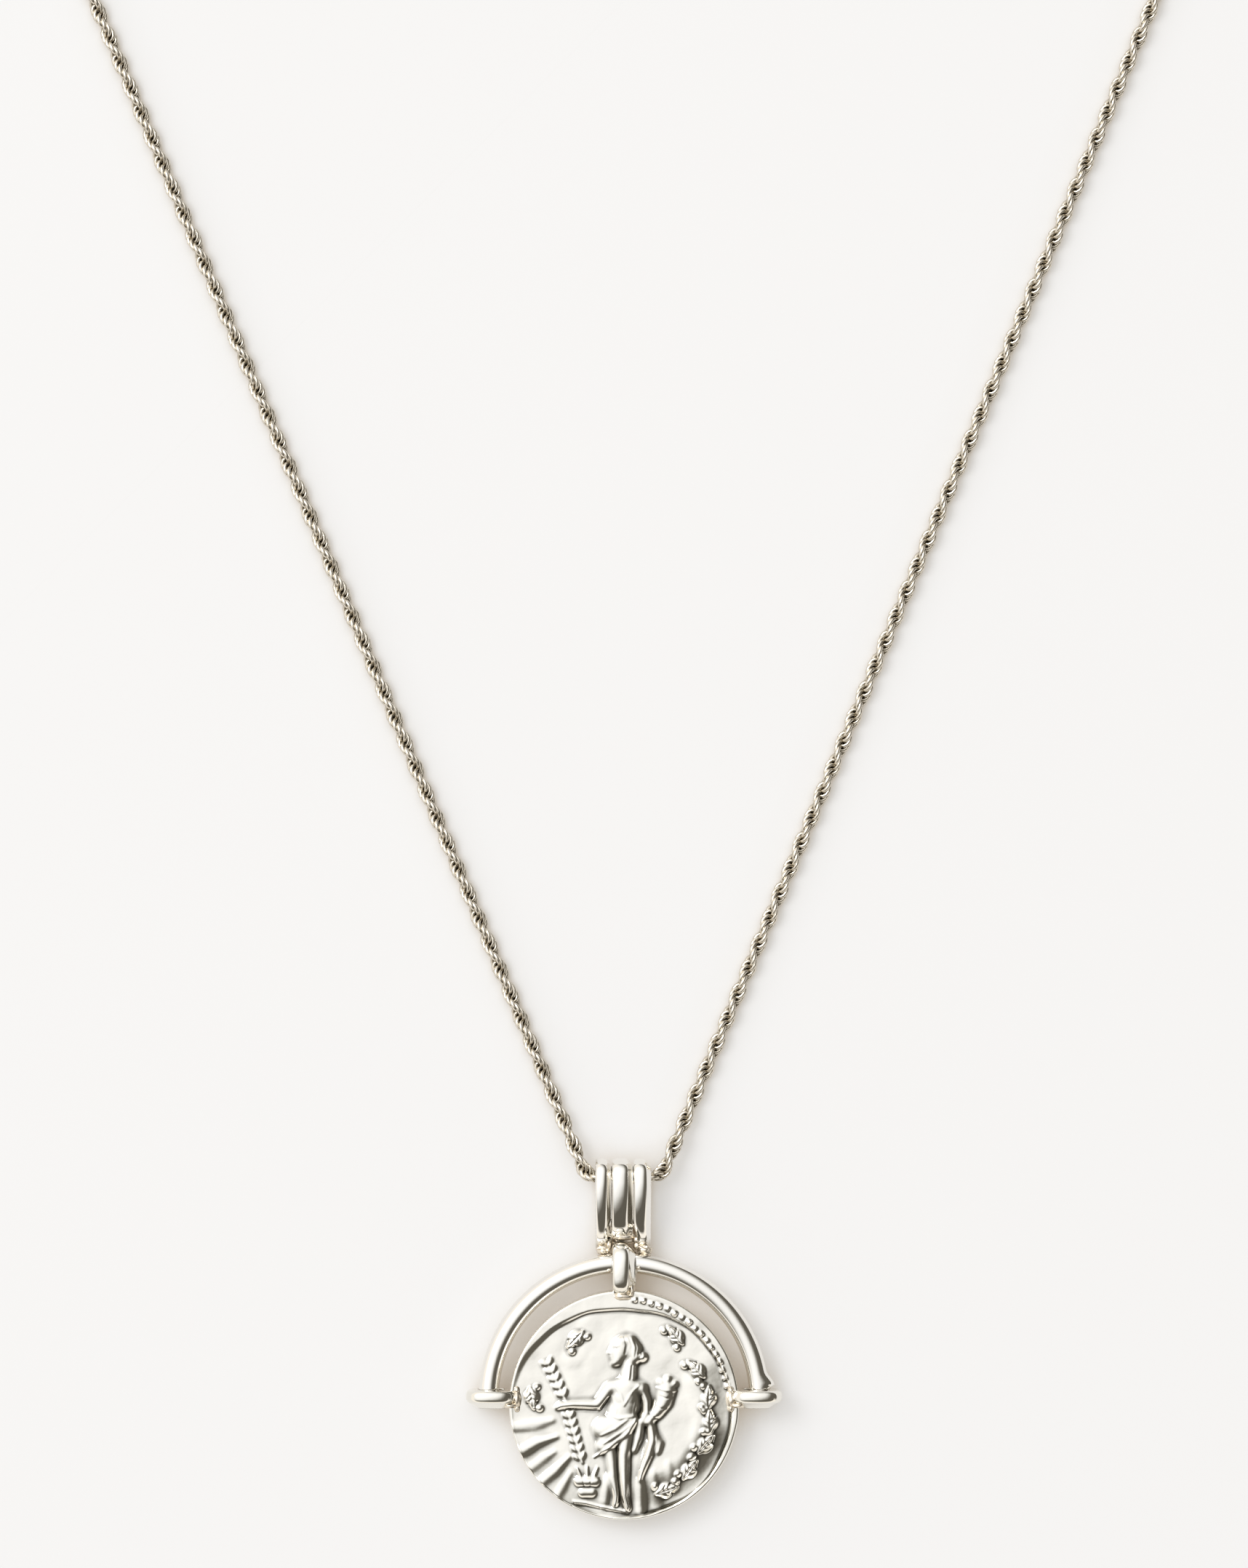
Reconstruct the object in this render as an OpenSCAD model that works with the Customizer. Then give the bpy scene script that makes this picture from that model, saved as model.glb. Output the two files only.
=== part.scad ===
// Coin pendant on a rope chain, laid flat and face up on a table.
// Millimetres. +Z is up off the table, +Y runs from the coin to the clasp,
// and the origin is on the table under the middle of the whole necklace.

/* [Coin] */
// Diameter of the coin
coin_d = 18.5; // [16:0.5:22]
// Thickness of the coin without its relief
coin_t = 1.7; // [1.4:0.1:2.2]
// How far the coin's centre sits below the centre of the arc
coin_drop = 0.5; // [0.3:0.1:0.8]
// Height of the highest relief above the coin's field
relief_h = 0.6; // [0.3:0.05:0.8]
// Width of the raised rim
rim_w = 0.95; // [0.8:0.05:1.4]
// Height of the raised rim above the field
rim_h = 0.22; // [0.1:0.02:0.3]
// Diameter of one bead of the beaded border
bead_d = 0.62; // [0.4:0.02:0.8]
// Centre to centre distance of the beads
bead_pitch = 0.92; // [0.8:0.02:1.4]
// Chamfer round the front of the coin
coin_edge = 0.2; // [0.1:0.05:0.3]
// Chamfer round the plain back of the coin
back_edge = 0.4; // [0.3:0.05:0.6]
// Distance between the points of the relief's surface
relief_step = 0.32; // [0.28:0.02:0.8]

/* [Arc] */
// Diameter of the round wire of the arc
wire_d = 1.65; // [1.3:0.05:2]
// Gap between the coin's edge and the inside of the arc at its ends
arc_gap = 0.8; // [0.6:0.1:1.6]

/* [Loops on the coin] */
// Wall of the three loops round the arc
loop_t = 1.2; // [0.9:0.05:1.5]
// Diameter of a loop's solder foot where it meets the coin
foot_d = 1.6; // [1.5:0.1:2]
// How far a solder foot bites into the coin
foot_bite = 0.9; // [0.6:0.1:1.5]

/* [Bail] */
// Height of the bail above the arc's outer edge
bail_h = 7.6; // [6.4:0.1:9]
// Depth of the bail from front to back
bail_depth = 4.2; // [4:0.1:5.6]
// Width of the middle one of the three bail rings
bail_mid_w = 1.75; // [1.5:0.05:2]
// Width of each outer bail ring
bail_side_w = 1.45; // [1.2:0.05:1.8]
// Wall of the bail rings
bail_t = 0.65; // [0.5:0.05:0.9]
// How deep the outer bail rings sit in the arc's wire
bail_sink = 0.45; // [0.3:0.05:0.6]

/* [Chain] */
// Diameter over the twisted links of the chain
chain_d = 1.3; // [1:0.05:1.6]
// Length of the whole necklace round its loop, clasp included
necklace_len = 530; // [450:10:600]
// Angle of each leg of the chain from the middle line
leg_angle = 22.75; // [18:0.25:28]
// Radius of the chain's bends beside the bail
bend_r = 1.4; // [1.2:0.1:2]
// Distance from the bail to where the line of a leg crosses the line through the bail
bend_out = 0.7; // [0.6:0.05:1.2]
// Length over which the chain comes down from the bail to the table
drop_len = 9; // [6:0.5:14]
// Length over which the chain rises from the table to an end cap
rise_len = 11; // [8:0.5:16]

/* [Clasp] */
// Diameter of an end cap
cap_d = 2.1; // [1.9:0.1:2.6]
// Depth of the socket in an end cap
cap_socket = 2.2; // [1.6:0.1:3]
// Floor of an end cap behind its socket
cap_floor = 0.7; // [0.5:0.1:1.2]
// Diameter of an end ring to the middle of its wire
ring_d = 3.4; // [3.2:0.1:4.4]
// Diameter of the wire of an end ring
ring_wire_d = 0.7; // [0.5:0.05:0.8]
// Thickness of the clasp
clasp_t = 1.3; // [1:0.1:1.5]
// Radius of the hole in the clasp's tail
tail_hole_r = 0.95; // [0.9:0.05:1.2]
// Wall of the clasp round its tail hole and its opening
clasp_wall = 0.85; // [0.6:0.05:1]
// Length from the tail hole to the far end of the clasp's opening
claw_len = 7.2; // [6.4:0.2:10]
// Radius of the round end of the clasp's opening
claw_r = 1.2; // [1.1:0.05:1.6]

/* [Fit] */
// Gap between pieces that are threaded through each other
gap = 0.06; // [0.05:0.01:0.1]
// Gap between the chain and the inside of the bail
chain_gap = 0.15; // [0.12:0.01:0.25]
// Gap between the chain and the socket of an end cap
socket_gap = 0.1; // [0.08:0.01:0.15]

/* [Hidden] */
$fn = 48;
RAD = 180 / PI;
over = 0.5; // how far a cutter runs past what it cuts

// Arc and loops, in the arc's own frame: its centre at the origin, its plane at z = 0
coin_r = coin_d / 2;
wire_r = wire_d / 2;
arc_r = coin_r + arc_gap + wire_r;
loop_bore_r = wire_r + gap;
loop_r = loop_bore_r + loop_t;
ring_overlap = 0.04; // how far neighbouring bail rings run into each other
bail_pitch = (bail_mid_w + bail_side_w) / 2 - ring_overlap;
loop_w = bail_mid_w - 2 * ring_overlap - 2 * gap;
arc_end_angle = asin((loop_w / 2 - gap) / arc_r);

// Bail
bail_top = arc_r + wire_r + bail_h;
bail_foot = arc_r + wire_r - bail_sink;
bail_inner_foot = arc_r + loop_r + 2 * gap;
bail_half_w = bail_pitch + bail_side_w / 2;

// Height of the arc's plane above the table: the loops and the bail touch it
plane_z = max(loop_r, bail_depth / 2);

// The chain's place in the bail, in the arc's frame but with z above the table
chain_r = chain_d / 2;
play = bail_depth / 2 - bail_t - chain_r - chain_gap;
chain_bail_z = max(plane_z - 0.5 * play, plane_z - bail_depth / 2 + bail_t + chain_r + chain_gap);
chain_sag = plane_z - chain_bail_z;
chain_bail_y = bail_top - bail_depth / 2 + sqrt(play * play - chain_sag * chain_sag);

// End rings and clasp: where an end ring's wire leaves room for the clasp's wall
ring_r = ring_d / 2;
ring_wire_r = ring_wire_d / 2;
ring_z = ring_r + ring_wire_r;
wall_x = sqrt(pow(ring_r - ring_wire_r - gap, 2) - clasp_t * clasp_t / 4);
ring_sink = 0.2; // how deep an end ring sits in its cap
cap_to_ring = gap + cap_floor + ring_r - ring_sink; // chain's end to ring's centre
ring_half = (wall_x + tail_hole_r + claw_len + wall_x) / 2;

// Half of the chain, by distance s from the middle of the bail
lean = 90 - leg_angle;
corner_x = bail_half_w + bend_out;
bend_cut = bend_r * tan(lean / 2);
bend_len = bend_r * lean / RAD;
s_bend = corner_x - bend_cut;
s_leg = s_bend + bend_len;
apex_to_leg = corner_x / sin(leg_angle) + bend_cut;
half_len = necklace_len / 2;
tangent_len = (half_len - s_leg + apex_to_leg) / (1 + tan(leg_angle) * (90 + leg_angle) / RAD);
loop_radius = tangent_len * tan(leg_angle);
s_arc = s_leg + tangent_len - apex_to_leg;
end_turn = atan(cap_to_ring / loop_radius)
    + asin(ring_half / sqrt(loop_radius * loop_radius + cap_to_ring * cap_to_ring));
s_end = s_arc + loop_radius * (90 + leg_angle - end_turn) / RAD;

function ease(t) = t <= 0 ? 0 : t >= 1 ? 1 : t * t * (3 - 2 * t);

function heading(s) =
    s < s_bend ? 0
    : s < s_leg ? (s - s_bend) / bend_r * RAD
    : s < s_arc ? lean
    : lean + (s - s_arc) / loop_radius * RAD;

bend_centre = [s_bend, bend_r];
leg_start = bend_centre + bend_r * [sin(lean), -cos(lean)];
leg_end = leg_start + (s_arc - s_leg) * [cos(lean), sin(lean)];
loop_centre = leg_end - loop_radius * [sin(lean), -cos(lean)];

function plan(s) =
    let (h = heading(s), out = [sin(h), -cos(h)])
    s < s_bend ? [s, 0]
    : s < s_leg ? bend_centre + bend_r * out
    : s < s_arc ? leg_start + (s - s_leg) * [cos(lean), sin(lean)]
    : loop_centre + loop_radius * out;

cap_level = cap_socket + over; // stretch of chain that stays level at a cap
function height(s) =
    chain_bail_z
    - (chain_bail_z - chain_r) * ease((s - bail_half_w) / drop_len)
    + (ring_z - chain_r) * ease((s - (s_end - cap_level - rise_len)) / rise_len);

function route(s) = let (p = plan(s)) [p[0], p[1] + chain_bail_y, height(s)];

// Stations along half of the chain, close together where it bends
bend_steps = 6;
drop_steps = 6;
loop_steps = 18;
rise_steps = 6;
s_down = bail_half_w + drop_len;
s_rise = s_end - cap_level - rise_len;
stations = concat(
    [for (i = [0 : bend_steps]) s_bend + bend_len * i / bend_steps],
    [for (i = [1 : drop_steps]) s_leg + (s_down - s_leg) * i / drop_steps],
    [(s_down + s_arc) / 2],
    [for (i = [0 : loop_steps - 1]) s_arc + (s_rise - s_arc) * i / loop_steps],
    [for (i = [0 : rise_steps]) s_rise + rise_len * i / rise_steps],
    [s_end]
);
last = len(stations) - 1;
chain_stations = concat([for (i = [last : -1 : 0]) -stations[i]], [0], stations);

// Where the arc's centre lies, so that the necklace is centred on the origin
ring_y = chain_bail_y + loop_centre[1] + loop_radius * cos(end_turn) + cap_to_ring * sin(end_turn);
clasp_half_w = max(claw_r, tail_hole_r) + clasp_wall;
arc_y = -(ring_y + clasp_half_w - coin_drop - coin_r) / 2;

// Relief of the coin. Each row is a rounded bar from one point to another.
// Lengths are shares of the coin's radius, heights shares of relief_h.
FROM_X = 0;
FROM_Y = 1;
TO_X = 2;
TO_Y = 3;
HALF_W = 4;
HIGH = 5;

body_relief = [
    [-0.02, 0.43, 0.00, 0.51, 0.115, 0.85], // head
    [0.06, 0.46, 0.07, 0.54, 0.070, 0.95], // hair
    [0.14, 0.43, 0.13, 0.41, 0.040, 0.60], // knot of hair
    [0.03, 0.33, 0.03, 0.22, 0.055, 0.60], // neck
    [-0.10, 0.16, 0.12, 0.17, 0.075, 0.75], // shoulders
    [0.00, 0.13, -0.02, -0.12, 0.135, 1.00], // chest and waist
    [-0.14, 0.14, -0.24, 0.01, 0.050, 0.70], // raised upper arm
    [-0.25, -0.01, -0.50, -0.01, 0.045, 0.75], // raised forearm
    [-0.54, -0.02, -0.56, -0.01, 0.050, 0.70], // hand
    [0.16, 0.14, 0.19, -0.06, 0.045, 0.75], // lowered upper arm
    [0.18, -0.09, 0.10, -0.15, 0.040, 0.70], // lowered forearm
    [-0.11, -0.38, -0.07, -0.74, 0.050, 0.80], // bent leg
    [-0.01, -0.34, 0.00, -0.82, 0.055, 0.90], // standing leg
    [-0.07, -0.79, -0.09, -0.84, 0.035, 0.60], // bent foot
    [0.00, -0.87, 0.03, -0.90, 0.035, 0.60] // standing foot
];
drapery_relief = [
    [-0.17, -0.26, -0.02, -0.20, 0.140, 0.85], // cloth over the hips
    [-0.24, -0.43, 0.08, -0.19, 0.035, 0.95], // hem across the thighs
    [-0.13, -0.33, 0.11, -0.12, 0.030, 1.05], // fold
    [0.14, -0.16, 0.07, -0.38, 0.045, 0.65], // cloth behind the legs
    [0.21, -0.36, 0.14, -0.62, 0.035, 0.70], // its hanging end
    [0.28, -0.26, 0.29, -0.38, 0.045, 0.50] // end of the cloth over the arm
];
held_relief = [
    [-0.66, 0.37, -0.52, 0.05, 0.028, 0.45], // top of the staff
    [-0.47, -0.06, -0.37, -0.50, 0.030, 0.45], // foot of the staff
    [0.38, 0.16, 0.36, 0.04, 0.060, 0.70], // mouth of the horn
    [0.34, 0.00, 0.27, -0.08, 0.050, 0.70], // middle of the horn
    [0.25, -0.10, 0.19, -0.15, 0.035, 0.60], // tip of the horn
    [-0.40, -0.66, -0.24, -0.66, 0.060, 0.50], // basket
    [-0.38, -0.77, -0.26, -0.77, 0.050, 0.45], // foot of the basket
    [-0.40, -0.84, -0.22, -0.865, 0.030, 0.60], // ground line under the basket
    [-0.19, -0.885, 0.04, -0.885, 0.030, 0.55] // ground line under the feet
];
// Soft waves where the metal has flowed towards the edge
wave_relief = [
    [-0.88, -0.25, -0.64, -0.20, 0.060, 0.30],
    [-0.80, -0.41, -0.58, -0.33, 0.055, 0.30],
    [-0.73, -0.53, -0.54, -0.41, 0.050, 0.25],
    [-0.64, -0.64, -0.48, -0.50, 0.045, 0.25]
];
// Grains along the staff: start of the row, its end, and how many
staff_rows = [
    [[-0.66, 0.35], [-0.53, 0.07], 4],
    [[-0.46, -0.12], [-0.38, -0.48], 5]
];
grain_side = 0.045;
grain_relief = [
    for (row = staff_rows, i = [0 : row[2] - 1], side = [-1, 1])
        let (p = row[0] + (row[1] - row[0]) * i / (row[2] - 1))
            [p[0] + side * grain_side, p[1] + 0.03, p[0] + side * grain_side, p[1] - 0.01, 0.030, 0.50]
];
// Leaves with a berry at each end, laid along the border: angle and radius
leaf_places = [
    [128, 0.73], [52, 0.76], [28, 0.71], [7, 0.74], [350, 0.77], [334, 0.80],
    [316, 0.80], [297, 0.80], [175, 0.79]
];
leaf_half = 0.045;
leaf_relief = [
    for (place = leaf_places)
        let (
            centre = place[1] * [cos(place[0]), sin(place[0])],
            along = [-sin(place[0]), cos(place[0])]
        )
            each concat(
                [concat(centre - leaf_half * along, centre + leaf_half * along, [0.050, 0.55])],
                [
                    for (side = [-1, 1])
                        let (berry = centre + side * 2.6 * leaf_half * along)
                            concat(berry, berry, [0.032, 0.45])
                ]
            )
];
relief = concat(body_relief, drapery_relief, held_relief, wave_relief, grain_relief, leaf_relief);
beads_to = 8; // angles between which the border is beaded
beads_from = 82;
field_sink = 0.3; // depth of the recess that the field and its relief fill

// A flat bar's outline: a straight-sided foot of width w under a round crown, t high
module crowned(w, t) {
    foot = t > w / 2 ? t - w / 2 : 0.3 * t;
    crown = t - foot;
    crown_r = (w * w / 4 + crown * crown) / (2 * crown);
    translate([0, -w / 2]) square([foot, w]);
    intersection() {
        translate([t - crown_r, 0]) circle(crown_r);
        translate([foot - over * foot, -w / 2]) square([t, w]);
    }
}

// A ring of crowned section about Z, from its bore outwards
module crowned_ring(bore_r, w, t, angle = 360) {
    rotate_extrude(angle = angle) translate([bore_r, 0]) crowned(w, t);
}

// The outline round two circles, the second one at x = d
module tapered(r1, r2, d) {
    a = acos((r1 - r2) / d);
    circle(r1);
    translate([d, 0]) circle(r2);
    polygon([
        r1 * [cos(a), sin(a)], [d, 0] + r2 * [cos(a), sin(a)],
        [d, 0] + r2 * [cos(a), -sin(a)], r1 * [cos(a), -sin(a)]
    ]);
}

// Height of the relief at a point p of the field, both as shares
function bar_height(row, p) =
    let (
        from = [row[FROM_X], row[FROM_Y]],
        along = [row[TO_X], row[TO_Y]] - from,
        run = along * along,
        t = run == 0 ? 0 : min(1, max(0, (p - from) * along / run)),
        d = norm(p - from - t * along) / row[HALF_W]
    )
        d < 1 ? row[HIGH] * (1 - d * d) : 0;
function field_height(p) = max([for (row = relief) bar_height(row, p)]);

// The coin's field with its relief: rings of 6, 12, 18 and more points round its middle
module coin_relief() {
    seat = 0.1; // how far the field runs on under the rim
    field_r = coin_r - rim_w + seat;
    ring_count = ceil(field_r / relief_step);
    function first(k) = k == 0 ? 0 : 1 + 3 * k * (k - 1);
    function at(k, i) = k == 0 ? 0 : first(k) + i % (6 * k);
    surface = [
        [0, 0, relief_h * field_height([0, 0])],
        for (k = [1 : ring_count], i = [0 : 6 * k - 1])
            let (p = field_r * k / ring_count * [cos(60 * i / k), sin(60 * i / k)])
                [p[0], p[1], relief_h * field_height(p / coin_r)]
    ];
    edge = 6 * ring_count;
    floor_points = [
        for (i = [0 : edge - 1])
            let (a = 60 * i / ring_count)
                [field_r * cos(a), field_r * sin(a), -2 * field_sink]
    ];
    bottom = len(surface);
    polyhedron(
        points = concat(surface, floor_points),
        faces = concat(
            [
                for (k = [1 : ring_count], sector = [0 : 5], j = [0 : k - 1])
                    [
                        at(k, sector * k + j + 1),
                        at(k, sector * k + j),
                        at(k - 1, sector * (k - 1) + j)
                    ]
            ],
            [
                for (k = [2 : ring_count], sector = [0 : 5], j = [0 : k - 2])
                    [
                        at(k, sector * k + j + 1),
                        at(k - 1, sector * (k - 1) + j),
                        at(k - 1, sector * (k - 1) + j + 1)
                    ]
            ],
            [
                for (i = [0 : edge - 1])
                    let (j = (i + 1) % edge)
                        [at(ring_count, i), at(ring_count, j), bottom + j, bottom + i]
            ],
            [[for (i = [0 : edge - 1]) bottom + i]]
        )
    );
}

// The disc without its field: a flat back, a chamfered edge and a raised rim
module coin_disc() {
    top = coin_t / 2 + rim_h;
    rotate_extrude() polygon([
        [0, -coin_t / 2],
        [coin_r - back_edge, -coin_t / 2],
        [coin_r, back_edge - coin_t / 2],
        [coin_r, top - coin_edge],
        [coin_r - coin_edge, top],
        [coin_r - rim_w + rim_h, top],
        [coin_r - rim_w - field_sink, coin_t / 2 - field_sink],
        [0, coin_t / 2 - field_sink]
    ]);
}

// Beads along the rim, between two angles
module coin_beads() {
    border_r = coin_r - (rim_w - rim_h + coin_edge) / 2;
    step = bead_pitch / border_r * RAD;
    for (a = [beads_to : step : beads_from])
        rotate([0, 0, a]) translate([border_r, 0, coin_t / 2 + rim_h - bead_d / 4]) sphere(d = bead_d);
}

module coin_loop(angle) {
    rotate([0, 0, angle]) translate([arc_r, 0, 0]) rotate([90, 0, 0])
        crowned_ring(loop_bore_r, loop_w, loop_t);
}

// Solder foot from a loop into the coin's edge, along +X of a loop's own angle
module loop_foot(edge) {
    foot_from = edge - foot_bite;
    foot_to = arc_r - loop_bore_r - loop_t / 3;
    rotate([0, 90, 0]) translate([0, 0, foot_from])
        cylinder(d1 = foot_d, d2 = 0.7 * foot_d, h = foot_to - foot_from);
}

module coin() {
    color("silver") translate([0, arc_y, plane_z]) {
        translate([0, -coin_drop, 0]) {
            coin_disc();
            coin_beads();
            translate([0, 0, coin_t / 2]) coin_relief();
        }
        for (angle = [0, 90, 180]) {
            coin_loop(angle);
            rotate([0, 0, angle]) loop_foot(angle == 90 ? coin_r - coin_drop : coin_r);
        }
    }
}

// One bail ring of width w: a crowned strip round a slot, in the plane x = 0
module bail_ring(foot_y, w) {
    end_r = bail_depth / 2;
    bore_r = end_r - bail_t;
    top_y = bail_top - end_r;
    low_y = foot_y + end_r;
    rotate([0, 90, 0]) rotate([0, 0, 90]) {
        translate([top_y, 0, 0]) rotate([0, 0, -90]) crowned_ring(bore_r, w, bail_t, 180);
        translate([low_y, 0, 0]) rotate([0, 0, 90]) crowned_ring(bore_r, w, bail_t, 180);
        for (side = [0, 1]) mirror([0, side, 0])
            translate([low_y, bore_r, 0]) rotate([90, 0, 90])
                linear_extrude(top_y - low_y) crowned(w, bail_t);
    }
}

module arc_frame() {
    color("silver") translate([0, arc_y, plane_z]) {
        rotate([0, 0, -arc_end_angle]) rotate_extrude(angle = 180 + 2 * arc_end_angle)
            translate([arc_r, 0]) circle(wire_r);
        bail_ring(bail_inner_foot, bail_mid_w);
        for (side = [-1, 1]) translate([side * bail_pitch, 0, 0]) bail_ring(bail_foot, bail_side_w);
    }
}

chain_sides = 8;
module rope_chain() {
    rings = [
        for (s = chain_stations)
            let (
                side = s < 0 ? -1 : 1,
                p = route(abs(s)),
                h = heading(abs(s)),
                across = [-sin(h) * side, cos(h), 0]
            )
                [
                    for (i = [0 : chain_sides - 1])
                        let (a = 360 * (i + 0.5) / chain_sides)
                            [side * p[0], p[1] + arc_y, p[2]]
                            + chain_r * (cos(a) * across + [0, 0, sin(a)])
                ]
    ];
    count = len(rings);
    color("lightgray") polyhedron(
        points = [for (ring = rings) each ring],
        faces = concat(
            [[for (i = [0 : chain_sides - 1]) i]],
            [
                for (k = [0 : count - 2], i = [0 : chain_sides - 1])
                    let (
                        j = (i + 1) % chain_sides,
                        a = k * chain_sides,
                        b = a + chain_sides
                    )
                        [a + i, b + i, b + j, a + j]
            ],
            [[for (i = [chain_sides - 1 : -1 : 0]) (count - 1) * chain_sides + i]]
        )
    );
}

// Puts its children at the right-hand end of the chain, with +X towards the clasp
module at_right_end() {
    p = route(s_end);
    translate([p[0], p[1] + arc_y, ring_z]) rotate([0, 0, heading(s_end)]) children();
}

module end_cap() {
    ring_x = cap_to_ring;
    color("silver") {
        difference() {
            translate([-cap_socket, 0, 0]) rotate([0, 90, 0])
                cylinder(d = cap_d, h = cap_socket + gap + cap_floor);
            translate([-cap_socket - over, 0, 0]) rotate([0, 90, 0])
                cylinder(r = chain_r + socket_gap, h = cap_socket + over + gap);
        }
        translate([ring_x, 0, 0]) rotate([90, 0, 0])
            rotate_extrude() translate([ring_r, 0]) circle(ring_wire_r);
    }
}

module end_cap_right() {
    at_right_end() end_cap();
}

module end_cap_left() {
    mirror([1, 0, 0]) at_right_end() end_cap();
}

// The clasp's plan, from its tail hole at x = 0 towards its claw, drawn in by an inset
module clasp_plan(inset) {
    claw_x = claw_len - claw_r;
    neck_r = claw_r / 2;
    neck_x = tail_hole_r + clasp_wall * 1.4 + neck_r;
    difference() {
        union() {
            tapered(tail_hole_r + clasp_wall - inset, neck_r + clasp_wall - inset, neck_x);
            translate([neck_x, 0]) tapered(
                neck_r + clasp_wall - inset, claw_r + clasp_wall - inset, claw_x - neck_x
            );
        }
        circle(tail_hole_r + inset);
        translate([neck_x, 0]) tapered(neck_r + inset, claw_r + inset, claw_x - neck_x);
    }
}

module clasp() {
    edge = 0.15; // step of the rounded edges
    color("silver") translate([wall_x + tail_hole_r - ring_half, ring_y + arc_y, ring_z - clasp_t / 2]) {
        linear_extrude(clasp_t) clasp_plan(edge);
        translate([0, 0, edge]) linear_extrude(clasp_t - 2 * edge) clasp_plan(0);
    }
}

coin();
arc_frame();
rope_chain();
end_cap_left();
end_cap_right();
clasp();
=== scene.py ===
# %% [markdown]
# A coin pendant on a rope chain.
# The real object is cast and soldered silver: a coin struck in high relief, three small loops that
# hold it in a semicircle of round wire, a bail of three rings and a twisted chain of tiny links.
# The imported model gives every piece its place. This lesson gives each one the surface that a
# jeweller's bench leaves on it: struck, drawn, soldered or polished.

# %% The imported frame
import math

import bmesh
import bpy
import numpy as np
from mathutils import Matrix, Vector, noise


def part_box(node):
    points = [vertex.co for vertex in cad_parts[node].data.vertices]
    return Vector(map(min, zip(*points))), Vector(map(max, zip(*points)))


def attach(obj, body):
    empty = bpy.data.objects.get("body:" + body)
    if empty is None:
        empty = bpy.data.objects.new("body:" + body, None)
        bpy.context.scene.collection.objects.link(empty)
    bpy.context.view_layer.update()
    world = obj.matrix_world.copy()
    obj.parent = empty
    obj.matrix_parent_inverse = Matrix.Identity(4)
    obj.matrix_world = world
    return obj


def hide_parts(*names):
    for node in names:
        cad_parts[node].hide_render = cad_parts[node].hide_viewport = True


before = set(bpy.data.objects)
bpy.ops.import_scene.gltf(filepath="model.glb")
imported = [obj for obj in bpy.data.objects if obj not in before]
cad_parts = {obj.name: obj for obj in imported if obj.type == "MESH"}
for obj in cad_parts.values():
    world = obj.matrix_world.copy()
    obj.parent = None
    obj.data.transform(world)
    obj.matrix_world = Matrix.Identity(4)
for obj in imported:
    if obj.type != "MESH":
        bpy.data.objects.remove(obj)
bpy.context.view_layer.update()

MM = 0.001  # one millimetre in scene units

# %% [markdown]
# Every size below is a real one in millimetres, as it is in the model's source.
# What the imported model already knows, such as where the coin lies, is read from the boxes of its
# nodes, so the dressed pieces can't drift away from the solids that they stand for.

# %% Sizes of the real pieces, in millimetres
COIN_D = 18.5  # diameter of the coin
COIN_T = 1.7  # its thickness without the relief
COIN_DROP = 0.5  # how far its middle hangs below the middle of the arc
WIRE_D = 1.65  # diameter of the arc's wire
ARC_GAP = 0.8  # clear space between the coin and the arc
LOOP_W = 1.55  # width of the loops that the arc's ends reach into
LOOP_T = 1.2  # depth of a loop in front of its bore and behind it
GAP = 0.06  # play where one piece moves in another
CHAIN_D = 1.3  # diameter of the rope

coin_r = COIN_D / 2
arc_r = coin_r + ARC_GAP + WIRE_D / 2
coin_low, coin_high = (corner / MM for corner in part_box("coin"))
coin_y = coin_low.y + coin_r
arc_y = coin_y + COIN_DROP
plane_z = (coin_low.z + coin_high.z) / 2
print(f"coin centre y {coin_y:.2f}, arc centre y {arc_y:.2f}, plane z {plane_z:.2f} mm")

# %% [markdown]
# The photograph looks straight down on the table. A long lens from far away keeps the two legs of
# the chain straight and nearly parallel to the picture, as they are there.
# The camera comes first, because everything else is judged through it.

# %% Camera
PHOTO_HEIGHT = 126.1  # height of the table that the picture covers, mm
CAMERA_RISE = 650.0  # camera above the coin, mm
VIEW_UP_FROM_COIN = 49.9  # the picture's middle lies this far above the coin's middle, mm

camera_data = bpy.data.cameras.new("camera")
camera_data.lens = camera_data.sensor_width * CAMERA_RISE / PHOTO_HEIGHT
camera_data.clip_end = 10
camera = bpy.data.objects.new("camera", camera_data)
camera.location = Vector((0, coin_y + VIEW_UP_FROM_COIN, plane_z + CAMERA_RISE)) * MM
bpy.context.scene.collection.objects.link(camera)
bpy.context.scene.camera = camera
print(f"lens {camera_data.lens:.0f} mm")

# %% [markdown]
# Colours are picked on a screen, but a renderer adds up light, so every hex code is turned
# into linear light by one function. The room and the metals are trees of nodes. A function for each
# kind of node would hide what it sets, so one small function adds any node with its links.

# %% Helpers for colours and nodes
def colour(hex_code):
    """An sRGB hex colour as the linear RGBA that nodes take."""
    parts = [int(hex_code[i : i + 2], 16) / 255 for i in (1, 3, 5)]
    linear = [p / 12.92 if p <= 0.04045 else ((p + 0.055) / 1.055) ** 2.4 for p in parts]
    return (*linear, 1.0)


def add_node(tree, kind, settings=None, inputs=None, links=None):
    """Adds one node: its settings, the values of its sockets and what is linked into them."""
    node = tree.nodes.new(kind)
    for name, value in (settings or {}).items():
        setattr(node, name, value)
    for name, value in (inputs or {}).items():
        node.inputs[name].default_value = value
    for name, source in (links or {}).items():
        tree.links.new(source, node.inputs[name])
    return node


def set_ramp(node, stops):
    """Gives a colour ramp its stops, each a position and a grey or a colour."""
    ramp = node.color_ramp
    while len(ramp.elements) < len(stops):
        ramp.elements.new(0.5)
    for element, (position, value) in zip(ramp.elements, stops):
        element.position = position
        element.color = value if isinstance(value, tuple) else (value, value, value, 1)


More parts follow.
